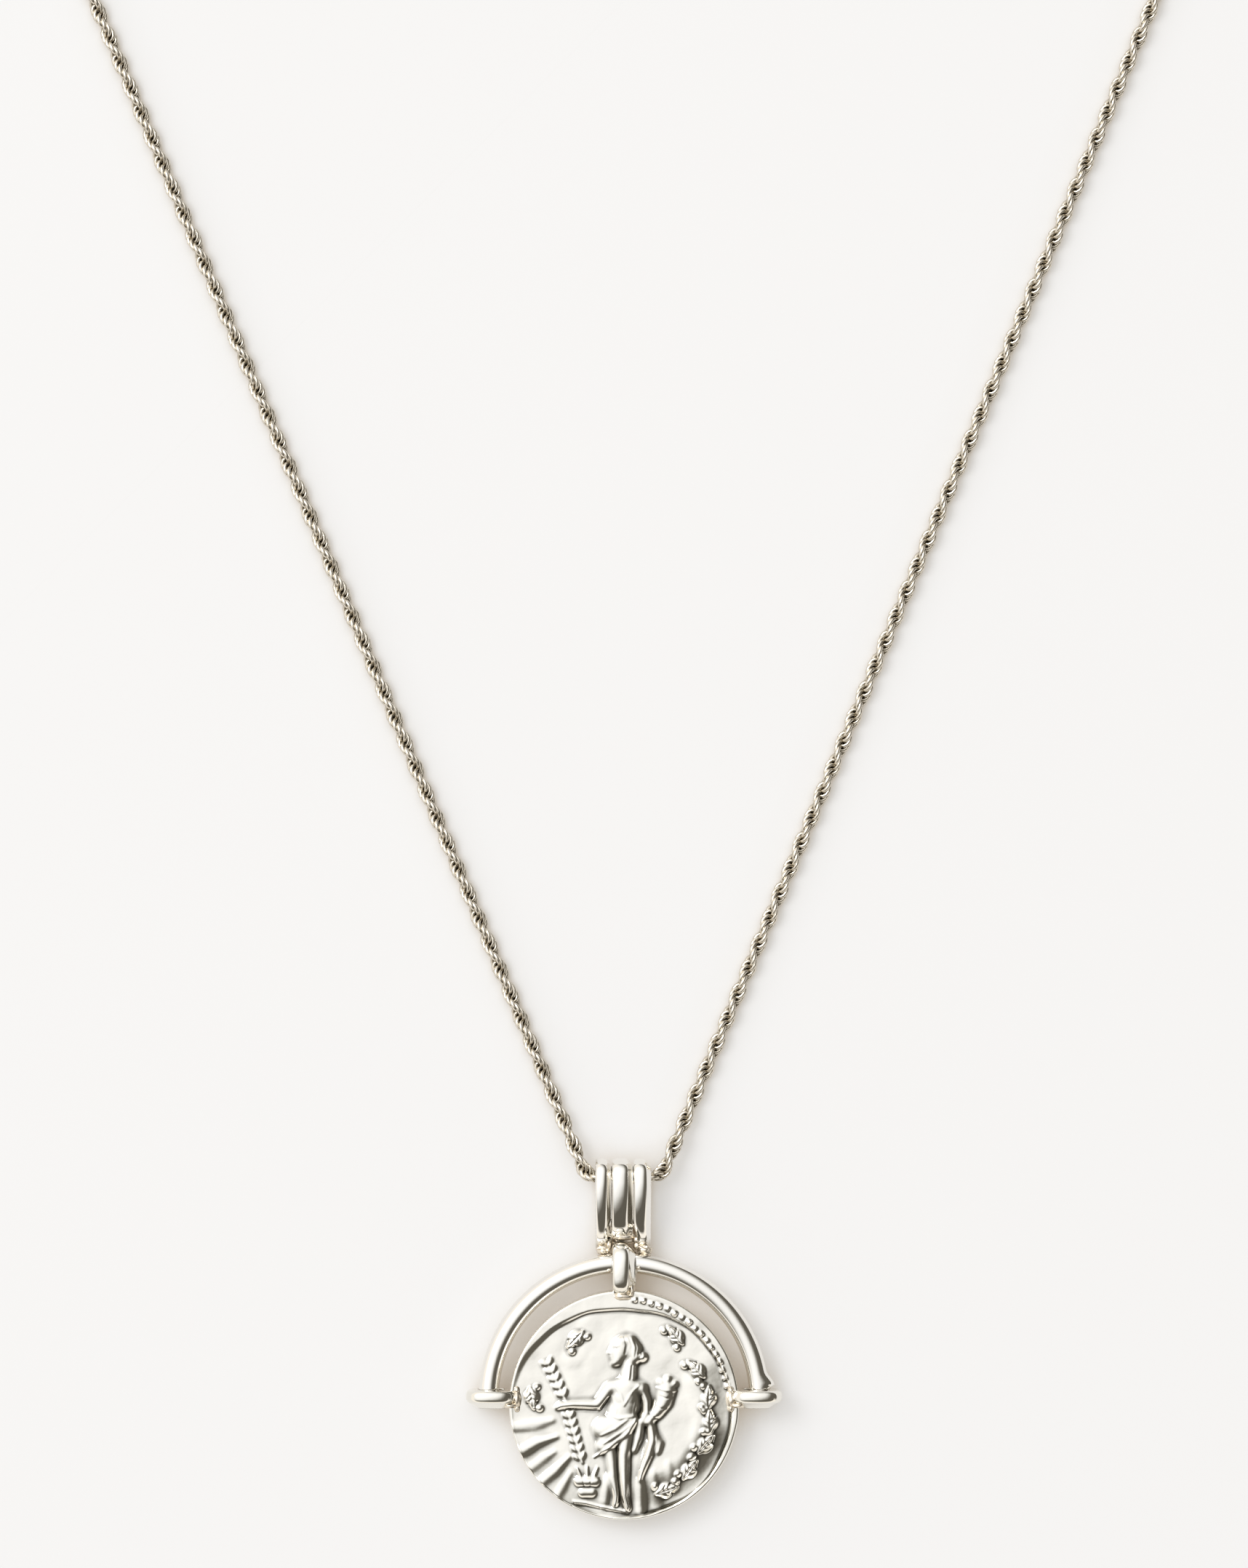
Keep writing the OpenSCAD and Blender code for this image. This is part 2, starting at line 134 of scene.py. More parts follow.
# %% [markdown]
# Polished silver has hardly a colour of its own: what the eye reads as silver is the room.
# In the photograph the surfaces that face up are pale grey, those that lean to the upper left are
# white, those that lean away are nearly black, and the steepest ones pick up the cream of the table.
# So the room is one broad soft lobe of light from the upper left over a dim warm studio, with low
# white walls round the table and a black card before the wall on the far side of the light. All of
# it is made in the world's nodes. Large area lamps could do it too, but their hard corners would
# show in every curve, so there is only one, for the soft shadow beside the pendant.

# %% The studio
WINDOW_TOWARDS = Vector((-0.47, 0.44, 0.765)).normalized()
KEY_TOWARDS = Vector((-0.50, 0.34, 0.80)).normalized()
# Light of the room by how near a direction is to the window: 0 is opposite to it, 1 is its middle
ROOM_STOPS = [
    (0.0, (0.080, 0.073, 0.058, 1)), (0.66, (0.102, 0.094, 0.078, 1)), (0.73, (0.26, 0.25, 0.23, 1)),
    (0.79, (0.56, 0.56, 0.54, 1)), (0.835, 0.78), (0.88, 0.9), (0.94, 1.05), (1.0, 1.1),
]
ROOM_STRENGTH = 1.25
# The wall fades in between these heights, as the upward part of a direction, from open room to wall
WALL_FROM, WALL_TO = 0.46, 0.32
WALL_COLOUR = "#f0ebe3"
CARD_TOWARDS = Vector((0.77, 0.64, 0.0))  # to the middle of the black card, on the side away from the key
CARD_FROM, CARD_TO = 0.4, 0.7  # the card fades in between these shares of nearness to its middle
KEY_DISTANCE = 1.3  # metres
KEY_SIZE = 0.6  # metres
KEY_POWER = 7.0  # watts

scene = bpy.context.scene
scene.view_settings.view_transform = "Standard"
world = bpy.data.worlds.new("studio")
scene.world = world
world.use_nodes = True
tree = world.node_tree
tree.nodes.clear()
direction = add_node(tree, "ShaderNodeTexCoord")
lean = add_node(tree, "ShaderNodeVectorMath", {"operation": "DOT_PRODUCT"}, {1: WINDOW_TOWARDS},
                {0: direction.outputs["Generated"]})
share = add_node(tree, "ShaderNodeMapRange", None, {"From Min": -1.0, "From Max": 1.0},
                 {"Value": lean.outputs["Value"]})
room = add_node(tree, "ShaderNodeValToRGB", None, None, {"Fac": share.outputs["Result"]})
set_ramp(room, ROOM_STOPS)
upward = add_node(tree, "ShaderNodeSeparateXYZ", None, None, {"Vector": direction.outputs["Generated"]})
wall = add_node(tree, "ShaderNodeMapRange", {"interpolation_type": "SMOOTHSTEP"},
                {"From Min": WALL_TO, "From Max": WALL_FROM, "To Min": 1.0, "To Max": 0.0},
                {"Value": upward.outputs["Z"]})
near_card = add_node(tree, "ShaderNodeVectorMath", {"operation": "DOT_PRODUCT"}, {1: CARD_TOWARDS},
                     {0: direction.outputs["Generated"]})
bare = add_node(tree, "ShaderNodeMapRange", {"interpolation_type": "SMOOTHSTEP"},
                {"From Min": CARD_FROM, "From Max": CARD_TO, "To Min": 1.0, "To Max": 0.0},
                {"Value": near_card.outputs["Value"]})
lit_wall = add_node(tree, "ShaderNodeMath", {"operation": "MULTIPLY"}, None,
                    {0: wall.outputs["Result"], 1: bare.outputs["Result"]})
walled = add_node(tree, "ShaderNodeMix", {"data_type": "RGBA"}, {7: colour(WALL_COLOUR)},
                  {0: lit_wall.outputs["Value"], 6: room.outputs["Color"]})
background = add_node(tree, "ShaderNodeBackground", None, {"Strength": ROOM_STRENGTH},
                      {"Color": walled.outputs[2]})
add_node(tree, "ShaderNodeOutputWorld", None, None, {"Surface": background.outputs["Background"]})
print(f"room of {len(tree.nodes)} nodes")

# %% The key softbox looks at the coin
lamp_data = bpy.data.lights.new("key_softbox", "AREA")
lamp_data.size = KEY_SIZE
lamp_data.energy = KEY_POWER
lamp = bpy.data.objects.new("key_softbox", lamp_data)
lamp.location = Vector((0, coin_y, 0)) * MM + KEY_TOWARDS * KEY_DISTANCE
lamp.rotation_euler = (-KEY_TOWARDS).to_track_quat("-Z", "Y").to_euler()
scene.collection.objects.link(lamp)
print(f"softbox of {1000 * KEY_SIZE:.0f} mm, {1000 * KEY_DISTANCE:.0f} mm away")

# %% [markdown]
# The jewel lies on a matt sheet of white acrylic, and the sheet has a painted glow of its own.
# That glow lifts the shadows to the pale grey that they have in the photograph. More light from
# above would do that too, but it would wash out the dark bands that give polished metal its shape.
# Close to the silver the glow is painted dim and warm, by how open the sheet is to the sky, as a
# painted contact shadow that is darkest deep in the gaps.

# %% The table, with its painted glow and painted shadow
TABLE_SIZE = 8.0  # metres
TABLE_COLOUR = "#a7a7a8"
TABLE_PAINTED_GLOW = 0.52  # strength of the painted glow that lifts the shadows
PAINTED_SHADOW_REACH = 3.2  # how far from a piece of silver the painted shadow in the glow reaches, mm
# Colour of the painted glow by how open the sheet is to the sky, dim and warm as painted shadow where it is
# covered: 0 is covered, 1 is open
PAINTED_GLOW_STOPS = [(0.0, "#6e573b"), (0.3, "#c2ae92"), (0.5, "#e2d8c9"), (0.75, "#f7f4ef"), (1.0, "#fdfbf8")]
table_mesh = bpy.data.meshes.new("table_top")
bm = bmesh.new()
bmesh.ops.create_grid(bm, x_segments=1, y_segments=1, size=TABLE_SIZE / 2)
bm.to_mesh(table_mesh)
bm.free()
table_top = bpy.data.objects.new("table_top", table_mesh)
scene.collection.objects.link(table_top)

table_material = bpy.data.materials.new("white_acrylic_painted_glow")
table_material.use_nodes = True
sheet = table_material.node_tree.nodes["Principled BSDF"]
sheet.inputs["Base Color"].default_value = colour(TABLE_COLOUR)
sheet.inputs["Roughness"].default_value = 0.9  # sanded acrylic is matt
sheet.inputs["Specular IOR Level"].default_value = 0.1
# Painted shadow: an ambient-occlusion node dims the glow and turns it warm close under the silver.
painted_shadow_ao = add_node(table_material.node_tree, "ShaderNodeAmbientOcclusion", {"samples": 8},
                    {"Distance": PAINTED_SHADOW_REACH * MM})
painted_glow_ramp = add_node(table_material.node_tree, "ShaderNodeValToRGB", None, None,
                {"Fac": painted_shadow_ao.outputs["AO"]})
set_ramp(painted_glow_ramp, [(position, colour(shade)) for position, shade in PAINTED_GLOW_STOPS])
table_material.node_tree.links.new(painted_glow_ramp.outputs["Color"], sheet.inputs["Emission Color"])
sheet.inputs["Emission Strength"].default_value = TABLE_PAINTED_GLOW
table_mesh.materials.append(table_material)
print(f"light table of {TABLE_SIZE:.0f} m")

# %% [markdown]
# All the metal starts as polished silver: fully metallic, low roughness, a base colour a little
# warmer than neutral. What was done to it tells the pieces apart. The coin is cast, so its surface
# is uneven, and dark sulphide stays in its recesses. The arc and bail are drawn and bent, which
# leaves them smoothest. Solder froze as it flowed, duller and warmer. The chain is rubbed by its own
# links, and painted brown shade between them is what draws them. The clasp and caps are tumbled plain.
# A picture of scratches could be laid on each piece, but noise of a real size wraps any shape.

# %% Silver
WEAR_LEN = 3  # patches of wear are this many times as long as the grain of the surface
WEAR_DULL = (0.6, 1.5)  # they change its roughness between these shares


def silver(name, base, roughness, grain_mm, grain_depth_mm, tarnish_and_shade=None):
    """Polished silver with a soft unevenness of a real size, and a darker colour in its recesses where
    asked: tarnish on the coin, painted shade on the chain.
    """
    material = bpy.data.materials.new(name)
    material.use_nodes = True
    tree = material.node_tree
    shader = tree.nodes["Principled BSDF"]
    shader.inputs["Metallic"].default_value = 1.0
    place = add_node(tree, "ShaderNodeTexCoord")
    wear = add_node(tree, "ShaderNodeTexNoise", None,
                    {"Scale": 1 / (grain_mm * WEAR_LEN * MM), "Detail": 3.0, "Roughness": 0.55},
                    {"Vector": place.outputs["Object"]})
    rough = add_node(tree, "ShaderNodeMapRange", None,
                     {"To Min": roughness * WEAR_DULL[0], "To Max": roughness * WEAR_DULL[1]},
                     {"Value": wear.outputs["Fac"]})
    tree.links.new(rough.outputs["Result"], shader.inputs["Roughness"])
    # A darker colour in the recesses: tarnish on the coin, painted shade in the middle of the chain.
    if tarnish_and_shade:
        recess = add_node(tree, "ShaderNodeAttribute", {"attribute_name": "recess"})
        mix = add_node(tree, "ShaderNodeMix", {"data_type": "RGBA"}, {6: colour(base), 7: colour(tarnish_and_shade)},
                       {0: recess.outputs["Fac"]})
        tree.links.new(mix.outputs[2], shader.inputs["Base Color"])
    else:
        shader.inputs["Base Color"].default_value = colour(base)
    grain = add_node(tree, "ShaderNodeTexNoise", None,
                     {"Scale": 1 / (grain_mm * MM), "Detail": 2.0, "Roughness": 0.5},
                     {"Vector": place.outputs["Object"]})
    bump = add_node(tree, "ShaderNodeBump", None, {"Strength": 1.0, "Distance": grain_depth_mm * MM},
                    {"Height": grain.outputs["Fac"]})
    tree.links.new(bump.outputs["Normal"], shader.inputs["Normal"])
    return material


# Cast, then polished by hand: rippled reflections, and dark lines where polish never reached
cast_silver = silver("cast_polished_silver", "#efece4", 0.10, 0.9, 0.015, tarnish_and_shade="#4a463c")
# Drawn through a plate: the clearest mirror of all, with long faint waves from the bending
wire_silver = silver("drawn_polished_silver", "#f1eee8", 0.07, 1.6, 0.006)
# Rubbed link on link: a soft warm sheen, and painted brown shade in the middle of the rope
chain_silver = silver("worn_chain_silver", "#e3dbcd", 0.22, 0.5, 0.004, tarnish_and_shade="#80755f")
# Frozen from the torch: warm and dull, with a fine uneven skin
solder_silver = silver("flowed_silver_solder", "#e9dfcf", 0.30, 0.3, 0.02)
# Tumbled with steel shot: an even plain polish
clasp_silver = silver("plain_polished_silver", "#f1eee8", 0.09, 1.2, 0.004)
metals = (cast_silver, wire_silver, chain_silver, solder_silver, clasp_silver)
print("metals:", ", ".join(metal.name for metal in metals))

# %% [markdown]
# Every piece is built in millimetres, because that is how a bench measures, and shrunk to metres at
# the end. Smooth shading rounds the facets. Then the piece is told which body of the model it rides
# on, which finish it has and which plain solid it takes the place of.

# %% Finishing a piece
def finish_piece(name, bm, material, replaces):
    """Turns a bmesh in millimetres into a finished piece that rides on the model's body."""
    bmesh.ops.scale(bm, vec=(MM, MM, MM), verts=bm.verts)
    for face in bm.faces:
        face.smooth = True
    mesh = bpy.data.meshes.new(name)
    bm.to_mesh(mesh)
    bm.free()
    mesh.materials.append(material)
    piece = bpy.data.objects.new(name, mesh)
    scene.collection.objects.link(piece)
    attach(piece, "root")
    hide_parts(*replaces)
    print(f"{name}: {sum(len(p.vertices) - 2 for p in mesh.polygons)} triangles")


# %% [markdown]
# The chain hangs in the bail, bends down over both of its edges, runs out in two straight legs, and
# closes in one wide round loop, where the caps and the clasp join its ends. Near the clasp it rises,
# because the caps are thicker than the rope. The route is the one in the model's source: straight
# pieces and arcs of a circle, found by the distance along the chain. A curve object could follow it
# too, but the links need their place and direction at exact distances.

# %% Sizes of the chain's route, in millimetres
NECKLACE_LEN = 530.0  # the whole loop along its middle line
LEG_ANGLE = math.radians(22.75)  # lean of each leg from the upright
BEND_R = 1.4  # bend at the edge of the bail
BEND_OUT = 0.7  # how far outside the bail the two lines of the bend would meet
DROP_LEN = 9.0  # length over which the chain comes down from the bail to the table
RISE_LEN = 11.0  # length over which it rises to the cap
BAIL_DEPTH = 4.2  # from its back on the table to its front
BAIL_H = 7.6  # height of the bail above the wire
BAIL_T = 0.65  # thickness of the bail's strip
BAIL_SIDE_W, BAIL_MIDDLE_W = 1.45, 1.75  # widths of the model's rings
BAIL_MELT = 0.04  # how far neighbouring rings melt into each other
CHAIN_GAP = 0.15  # between the chain and the bail's inside
CAP_SOCKET = 2.2  # how deep the chain sits in its cap
CAP_LEVEL = CAP_SOCKET + 0.5  # from here to the clasp the chain lies level
CAP_FLOOR = 0.7  # thickness of the cap's closed end
RING_R = 1.7  # radius of an end ring, to the middle of its wire
RING_WIRE = 0.7  # diameter of that wire
RING_SUNK = 0.2  # how far the ring is sunk into the cap
RING_Z = 2.05  # height of the caps' middle line
CLASP_T = 1.3  # thickness of the clasp
TAIL_HOLE = 0.95  # radius of the hole in its tail
CLAW_LEN = 7.2  # from the middle of that hole to the tip of the claw's opening

BAIL_HALF_W = (BAIL_MIDDLE_W + BAIL_SIDE_W) / 2 - BAIL_MELT + BAIL_SIDE_W / 2
wall_x = math.sqrt((RING_R - RING_WIRE / 2 - GAP) ** 2 - CLASP_T**2 / 4)
RING_HALF = (wall_x + TAIL_HOLE + CLAW_LEN + wall_x) / 2
CAP_TO_RING = GAP + CAP_FLOOR + RING_R - RING_SUNK
print(f"the end rings lie {RING_HALF:.2f} mm to each side of the middle")

# %% The chain's route
chain_r = CHAIN_D / 2
bail_top = arc_r + WIRE_D / 2 + BAIL_H
play = BAIL_DEPTH / 2 - BAIL_T - chain_r - CHAIN_GAP
chain_bail_z = plane_z - 0.5 * play
chain_bail_y = arc_y + bail_top - BAIL_DEPTH / 2 + math.sqrt(play**2 - (0.5 * play) ** 2)

lean_angle = math.pi / 2 - LEG_ANGLE
corner_x = BAIL_HALF_W + BEND_OUT
bend_cut = BEND_R * math.tan(lean_angle / 2)
s_bend = corner_x - bend_cut
s_leg = s_bend + BEND_R * lean_angle
apex_to_leg = corner_x / math.sin(LEG_ANGLE) + bend_cut
turn_share = math.tan(LEG_ANGLE) * (math.pi / 2 + LEG_ANGLE)
tangent_len = (NECKLACE_LEN / 2 - s_leg + apex_to_leg) / (1 + turn_share)
loop_radius = tangent_len * math.tan(LEG_ANGLE)
s_arc = s_leg + tangent_len - apex_to_leg
end_turn = math.atan(CAP_TO_RING / loop_radius)
end_turn += math.asin(RING_HALF / math.hypot(loop_radius, CAP_TO_RING))
s_end = s_arc + loop_radius * (math.pi / 2 + LEG_ANGLE - end_turn)


def ease(t):
    """A smooth step from 0 to 1."""
    t = min(1.0, max(0.0, t))
    return t * t * (3 - 2 * t)


def heading(s):
    """Direction of the right half of the chain at a distance s from the middle of the bail."""
    if s < s_bend:
        return 0.0
    if s < s_leg:
        return (s - s_bend) / BEND_R
    if s < s_arc:
        return lean_angle
    return lean_angle + (s - s_arc) / loop_radius


def route(s):
    """The chain's middle line in millimetres, by the signed distance s from the middle of the bail."""
    a = abs(s)
    h = heading(a)
    out = Vector((math.sin(h), -math.cos(h)))
    along = Vector((math.cos(lean_angle), math.sin(lean_angle)))
    bend_centre = Vector((s_bend, BEND_R))
    leg_start = bend_centre + BEND_R * Vector((math.sin(lean_angle), -math.cos(lean_angle)))
    leg_end = leg_start + (s_arc - s_leg) * along
    loop_centre = leg_end - loop_radius * Vector((math.sin(lean_angle), -math.cos(lean_angle)))
    if a < s_bend:
        plan = Vector((a, 0))
    elif a < s_leg:
        plan = bend_centre + BEND_R * out
    elif a < s_arc:
        plan = leg_start + (a - s_leg) * along
    else:
        plan = loop_centre + loop_radius * out
    height = (
        chain_bail_z
        - (chain_bail_z - chain_r) * ease((a - BAIL_HALF_W) / DROP_LEN)
        + (RING_Z - chain_r) * ease((a - (s_end - CAP_LEVEL - RISE_LEN)) / RISE_LEN)
    )
    return Vector((math.copysign(plan.x, s), plan.y + chain_bail_y, height))


tube_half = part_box("rope_chain")[1].x / MM
print(f"chain {2 * s_end:.1f} mm, loop radius {loop_radius:.2f}, tube's half width {tube_half:.2f} mm")

# %% [markdown]
# A rope chain is made of plain round links. Each one passes through several others and sits turned
# a few degrees further round than the last, so the left halves of the links stack into one strand
# and the right halves into the other. Modelling the two strands as twisted tubes would lose that.
# So one link is spun from a circle of wire, and copies of it are strung along the chain's route.
# More than a thousand of them are needed, so each has only a few dozen faces.

# %% One link of the rope
LINK_WIRE = 0.34  # diameter of a link's wire, mm
LINK_WIDE = 1.30  # width of a link over its wire, mm
LINK_STRETCH = 1.2  # how much longer than wide a link is drawn
LINK_TILT = math.radians(84)  # how far its plane leans from lying square across the chain
LINK_PITCH = 0.40  # distance between neighbouring links, mm
PAINTED_SHADE_FROM, PAINTED_SHADE_TO = 0.48, 0.10  # painted shade darkens the rope between these distances from its middle line, mm
HALF_TWIST = 2.2  # length of chain over which the strands change sides, mm
LINK_STEPS = 12
WIRE_SIDES = 6


def make_link():
    """One long round link of wire about the origin, flat, with painted shade on what faces the rope's
    middle.
    """
    link_r = (LINK_WIDE - LINK_WIRE) / 2
    bm = bmesh.new()
    on_edge = Matrix.Translation((link_r, 0, 0)) @ Matrix.Rotation(math.pi / 2, 4, "X")
    section = bmesh.ops.create_circle(bm, segments=WIRE_SIDES, radius=LINK_WIRE / 2, matrix=on_edge)
    bmesh.ops.spin(bm, geom=section["verts"] + bm.edges[:], axis=(0, 0, 1), cent=(0, 0, 0),
                   angle=2 * math.pi, steps=LINK_STEPS, use_merge=True)
    # Painted shade: each link is darker on what faces the rope's middle line, where the links cross.
    painted_shade = bm.verts.layers.float.new("recess")
    for vert in bm.verts:
        vert.co.x += (LINK_STRETCH - 1) * link_r * vert.co.x / max(vert.co.xy.length, 0.01)
        aside = vert.co.x * math.cos(LINK_TILT) + vert.co.z * math.sin(LINK_TILT)
        from_axis = math.hypot(aside, vert.co.y)
        vert[painted_shade] = 1 - ease((from_axis - PAINTED_SHADE_TO) / (PAINTED_SHADE_FROM - PAINTED_SHADE_TO))
    bmesh.ops.recalc_face_normals(bm, faces=bm.faces)
    mesh = bpy.data.meshes.new("link")
    bm.to_mesh(mesh)
    bm.free()
    return mesh


print(f"a link of {LINK_STEPS * WIRE_SIDES} faces, {LINK_WIDE} mm wide")


# %% The rope
def chain_piece(name, s_from, s_to):
    """A stretch of the rope chain, link by link."""
    link = make_link()
    bm = bmesh.new()
    bm.verts.layers.float.new("recess")
    count = round((s_to - s_from) / LINK_PITCH)
    for i in range(count):
        s = s_from + (i + 0.5) * (s_to - s_from) / count
        here = route(s)
        ahead = route(s + 0.01)
        forward = (ahead - here).normalized()
        side = forward.cross(Vector((0, 0, 1))).normalized()
        up = side.cross(forward)
        place = Matrix((
            (side.x, up.x, forward.x, here.x),
            (side.y, up.y, forward.y, here.y),
            (side.z, up.z, forward.z, here.z),
            (0, 0, 0, 1),
        ))
        twist = math.pi * s / HALF_TWIST
        placed = link.copy()
        placed.transform(place @ Matrix.Rotation(twist, 4, "Z") @ Matrix.Rotation(LINK_TILT, 4, "Y"))
        bm.from_mesh(placed)
        bpy.data.meshes.remove(placed)
    bpy.data.meshes.remove(link)
    bmesh.ops.recalc_face_normals(bm, faces=bm.faces)
    print(f"{name}: {count} links")
    finish_piece(name, bm, chain_silver, ["rope_chain"])


chain_piece("rope_chain_links", -s_end, s_end)

# %% [markdown]
# The coin is cast from a struck original, so everything on it is soft low relief: a standing figure
# with a staff of grain and a horn, leaves and berries along the border, a row of worn teeth, and a
# rim that runs off one side because the blank lay askew in the die.
# A sculptor would raise such a relief in wax with strokes of different width and height, and that
# is how it's done here. One grid is mapped to a round face, and every stroke lifts its vertices.
# Separate solids laid on a disc would meet it in hard seams that no cast surface has.

# %% Strokes of the figure
# Each stroke: its height in mm, then its points as x, y and half width in hundredths of the radius
# Face, chin, hair, knot of hair, neck
HEAD = [
    (0.30, (-2, 50.5, 10), (-3.5, 45.5, 9.5), (-5.5, 39.5, 6)),
    (0.24, (-8.5, 36.5, 3.4)),
    (0.36, (-1, 57, 4), (5, 56, 6), (9, 49, 7), (9, 41, 6)),
    (0.36, (16, 42, 4.4)),
    (0.26, (5, 36, 7), (4, 25, 7.5), (3, 18, 9)),
]
# Shoulders, trunk, the arm with the staff and its hand, the other arm, hips, drapery, two legs
BODY = [
    (0.30, (-12, 15, 6), (2, 18, 7), (15, 15, 6)),
    (0.38, (1, 11, 14.5), (1, 2, 13.5), (-2, -10, 13.5)),
    (0.30, (-13, 14, 6), (-18, 7, 5.4), (-23, 0.5, 4.8), (-34, 1, 4.4), (-45, 1, 3.8), (-53, 0, 3)),
    (0.26, (-55, 0, 3.4), (-58, -2, 2)),
    (0.28, (16, 14, 4.2), (20, 3, 3.8), (20, -6, 3.2), (15, -14, 3)),
    (0.40, (-17, -20, 11), (-7, -20, 14), (5, -15, 10)),
    (0.32, (-11, -26, 14), (-17, -35, 8)),
    (0.28, (-12, -36, 5.8), (-10.5, -50, 5.4), (-9, -64, 4.4), (-6.5, -79, 3), (-8, -87, 2.6)),
    (0.36, (3, -24, 7.2), (-0.5, -44, 6), (0, -62, 4.8), (1, -80, 3.2), (3.5, -90, 2.6)),
]
# Three falls of cloth, then the horn and its fruit
CLOTH = [
    (0.26, (15, -15, 3.4), (12.5, -28, 4.2), (9, -40, 1.8)),
    (0.27, (23, -14, 3.4), (25, -30, 5), (21, -43, 4.6), (16.5, -55, 3.2), (13.5, -65, 1.2)),
    (0.20, (25, -24, 3.4), (31, -33, 3.8), (29.5, -41, 2.2)),
    (0.32, (37, 13, 8.5), (35, 3, 7.4), (29, -6, 5.8), (20, -15, 3.4)),
    (0.24, (32, 20, 3.6)),
    (0.26, (38, 22.5, 4)),
    (0.22, (44, 19, 3.4)),
]

# %% Strokes of the staff and the field
# Two lengths of the staff, a small altar with three flames, and the ground
STAFF = [
    (0.12, (-67, 38, 1), (-50, 3, 1.6)),
    (0.12, (-48.5, -5, 1.6), (-36, -50, 1.3)),
    (0.20, (-39, -66, 5), (-25, -66, 5)),
    (0.18, (-36, -76, 4.4), (-28, -76, 4.4)),
    (0.16, (-38, -61, 1.6), (-41, -54, 0.8)),
    (0.16, (-32, -61, 1.6), (-32, -53, 0.8)),
    (0.16, (-26, -61, 1.6), (-23, -54, 0.8)),
    (0.12, (-43, -84, 1.2), (-33, -85, 1.8), (-22, -88, 1.2)),
    (0.12, (-20, -88.5, 1.2), (-8, -90.5, 2), (4, -93, 1.2)),
]
# Flutes at the left and below, then the broad soft waves of the field
FLUTES = [
    (0.05, (-62, -13, 3), (-78, -17, 6), (-95, -19, 5)),
    (0.08, (-58, -27, 2), (-75, -32, 5), (-89, -40, 6)),
    (0.06, (-60, -40, 2), (-70, -46, 5), (-80, -54, 5)),
    (0.08, (-47, -44, 2), (-60, -57, 5), (-71, -66, 5)),
    (0.05, (-46, -58, 2), (-53, -70, 4), (-58, -79, 4)),
    (0.06, (-14, -62, 4), (-17, -84, 5)),
    (0.07, (14, -66, 4), (15, -92, 5)),
    (0.04, (25, -58, 3), (29, -88, 6)),
    (0.03, (38, -50, 3), (43, -72, 6)),
    (0.03, (60, 20, 10), (70, -10, 11), (66, -36, 10)),
    (0.02, (-45, 40, 10), (-30, 66, 12)),
    (0.02, (10, 70, 9), (34, 62, 11)),
]

# %% Ridges lie on top of what is there already, and grooves are cut into it
RIDGES = [
    (0.09, (11, -12, 1.8), (4, -23, 2.6), (-9, -34, 2.6), (-26, -45, 1)),
    (0.05, (8, -15, 1.4), (-3, -24, 2), (-18, -33, 1)),
    (0.04, (3, -12, 1.4), (-8, -20, 2), (-20, -26, 1)),
    (0.05, (-14, -8, 1.4), (-4, -11, 2), (10, -9, 1.4)),
    (0.03, (-5, 7, 5)),
    (0.03, (6.5, 7, 5)),
    (0.04, (-9, 18, 1.2), (-3, 10, 1.6), (0, 0, 1)),
    (0.04, (13, 18, 1.2), (6, 10, 1.6), (0, 0, 1)),
    (0.03, (-10, 8, 1), (-7, -3, 1.4), (-8, -10, 1)),
    (0.03, (11, 6, 1), (9, -3, 1.4), (8, -10, 1)),
    (0.06, (5.5, 35, 0.9), (4, 23, 1.2)),
    (0.06, (8.5, 34, 0.9), (8, 23, 1.2)),
    (0.05, (-11.5, 50.5, 0.8), (-14, 45.5, 1.3), (-12, 45, 0.8)),
    (0.03, (-11.5, 42.5, 1)),
    (0.03, (-11, 40.8, 1)),
    (0.04, (-10.5, 52.3, 0.7), (-4.5, 52, 0.8)),
    (0.05, (28.5, 15.5, 1.1), (37, 13, 1.3), (45, 12.5, 1.1)),
]
GROOVES = [
    (0.05, (-10, 49.5, 0.8), (-6, 49.3, 1)),
    (0.05, (0, 60, 0.9), (2.5, 53, 1.1), (1, 45, 0.8)),
    (0.04, (4.5, 59, 0.7), (7, 52, 0.8), (5.5, 42, 0.7)),
    (0.04, (9, 57, 0.7), (11, 50, 0.8), (9.5, 42, 0.7)),
    (0.05, (12.5, 45, 0.7), (15, 46, 0.8), (16, 43.5, 0.8), (14, 42, 0.7)),
    (0.07, (-23.5, -4, 1), (-34, -3.5, 1), (-50, -3.5, 1)),
    (0.07, (-13, 7, 1), (-17.5, 0, 1), (-20, -4, 0.8)),
    (0.06, (15, 9, 0.9), (16.5, 0, 1), (15, -9, 1), (11, -13, 0.8)),
    (0.06, (-5, -38, 0.9), (-5.5, -52, 1), (-4.5, -68, 1), (-3.5, -84, 0.8)),
    (0.05, (20, -20, 0.9), (21, -32, 1), (17, -44, 1), (13.5, -56, 0.7)),
    (0.04, (27, -22, 0.8), (27, -33, 0.9), (24, -42, 0.7)),
    (0.05, (31, 8, 0.8), (37, 6, 0.9), (41, 7, 0.8)),
    (0.05, (27, 0, 0.8), (32.5, -3, 0.9), (36, -2, 0.8)),
    (0.05, (22, -7.5, 0.8), (26, -11, 0.9), (29, -11, 0.7)),
    (0.05, (-43, -63.5, 0.8), (-32, -64.5, 0.9), (-21, -63.5, 0.8)),
    (0.04, (-36, -62, 0.7), (-34.5, -70, 0.7)),
    (0.04, (-28, -62, 0.7), (-29.5, -70, 0.7)),
    (0.05, (-45, -86.5, 0.8), (-33, -88, 1), (-21, -90.5, 0.8)),
    (0.05, (-15, -92, 0.8), (4, -95, 0.8)),
]
print(len(HEAD + BODY + CLOTH + STAFF + FLUTES + RIDGES + GROOVES), "strokes by hand")

# %% [markdown]
# A stroke of wax is highest along its middle and rounds off to both sides. Where two of them meet, a
# finger would smooth the seam. A high power mean of their heights does the same: it follows the
# higher one, and swells a little where they are alike. The plain maximum would leave a crease.

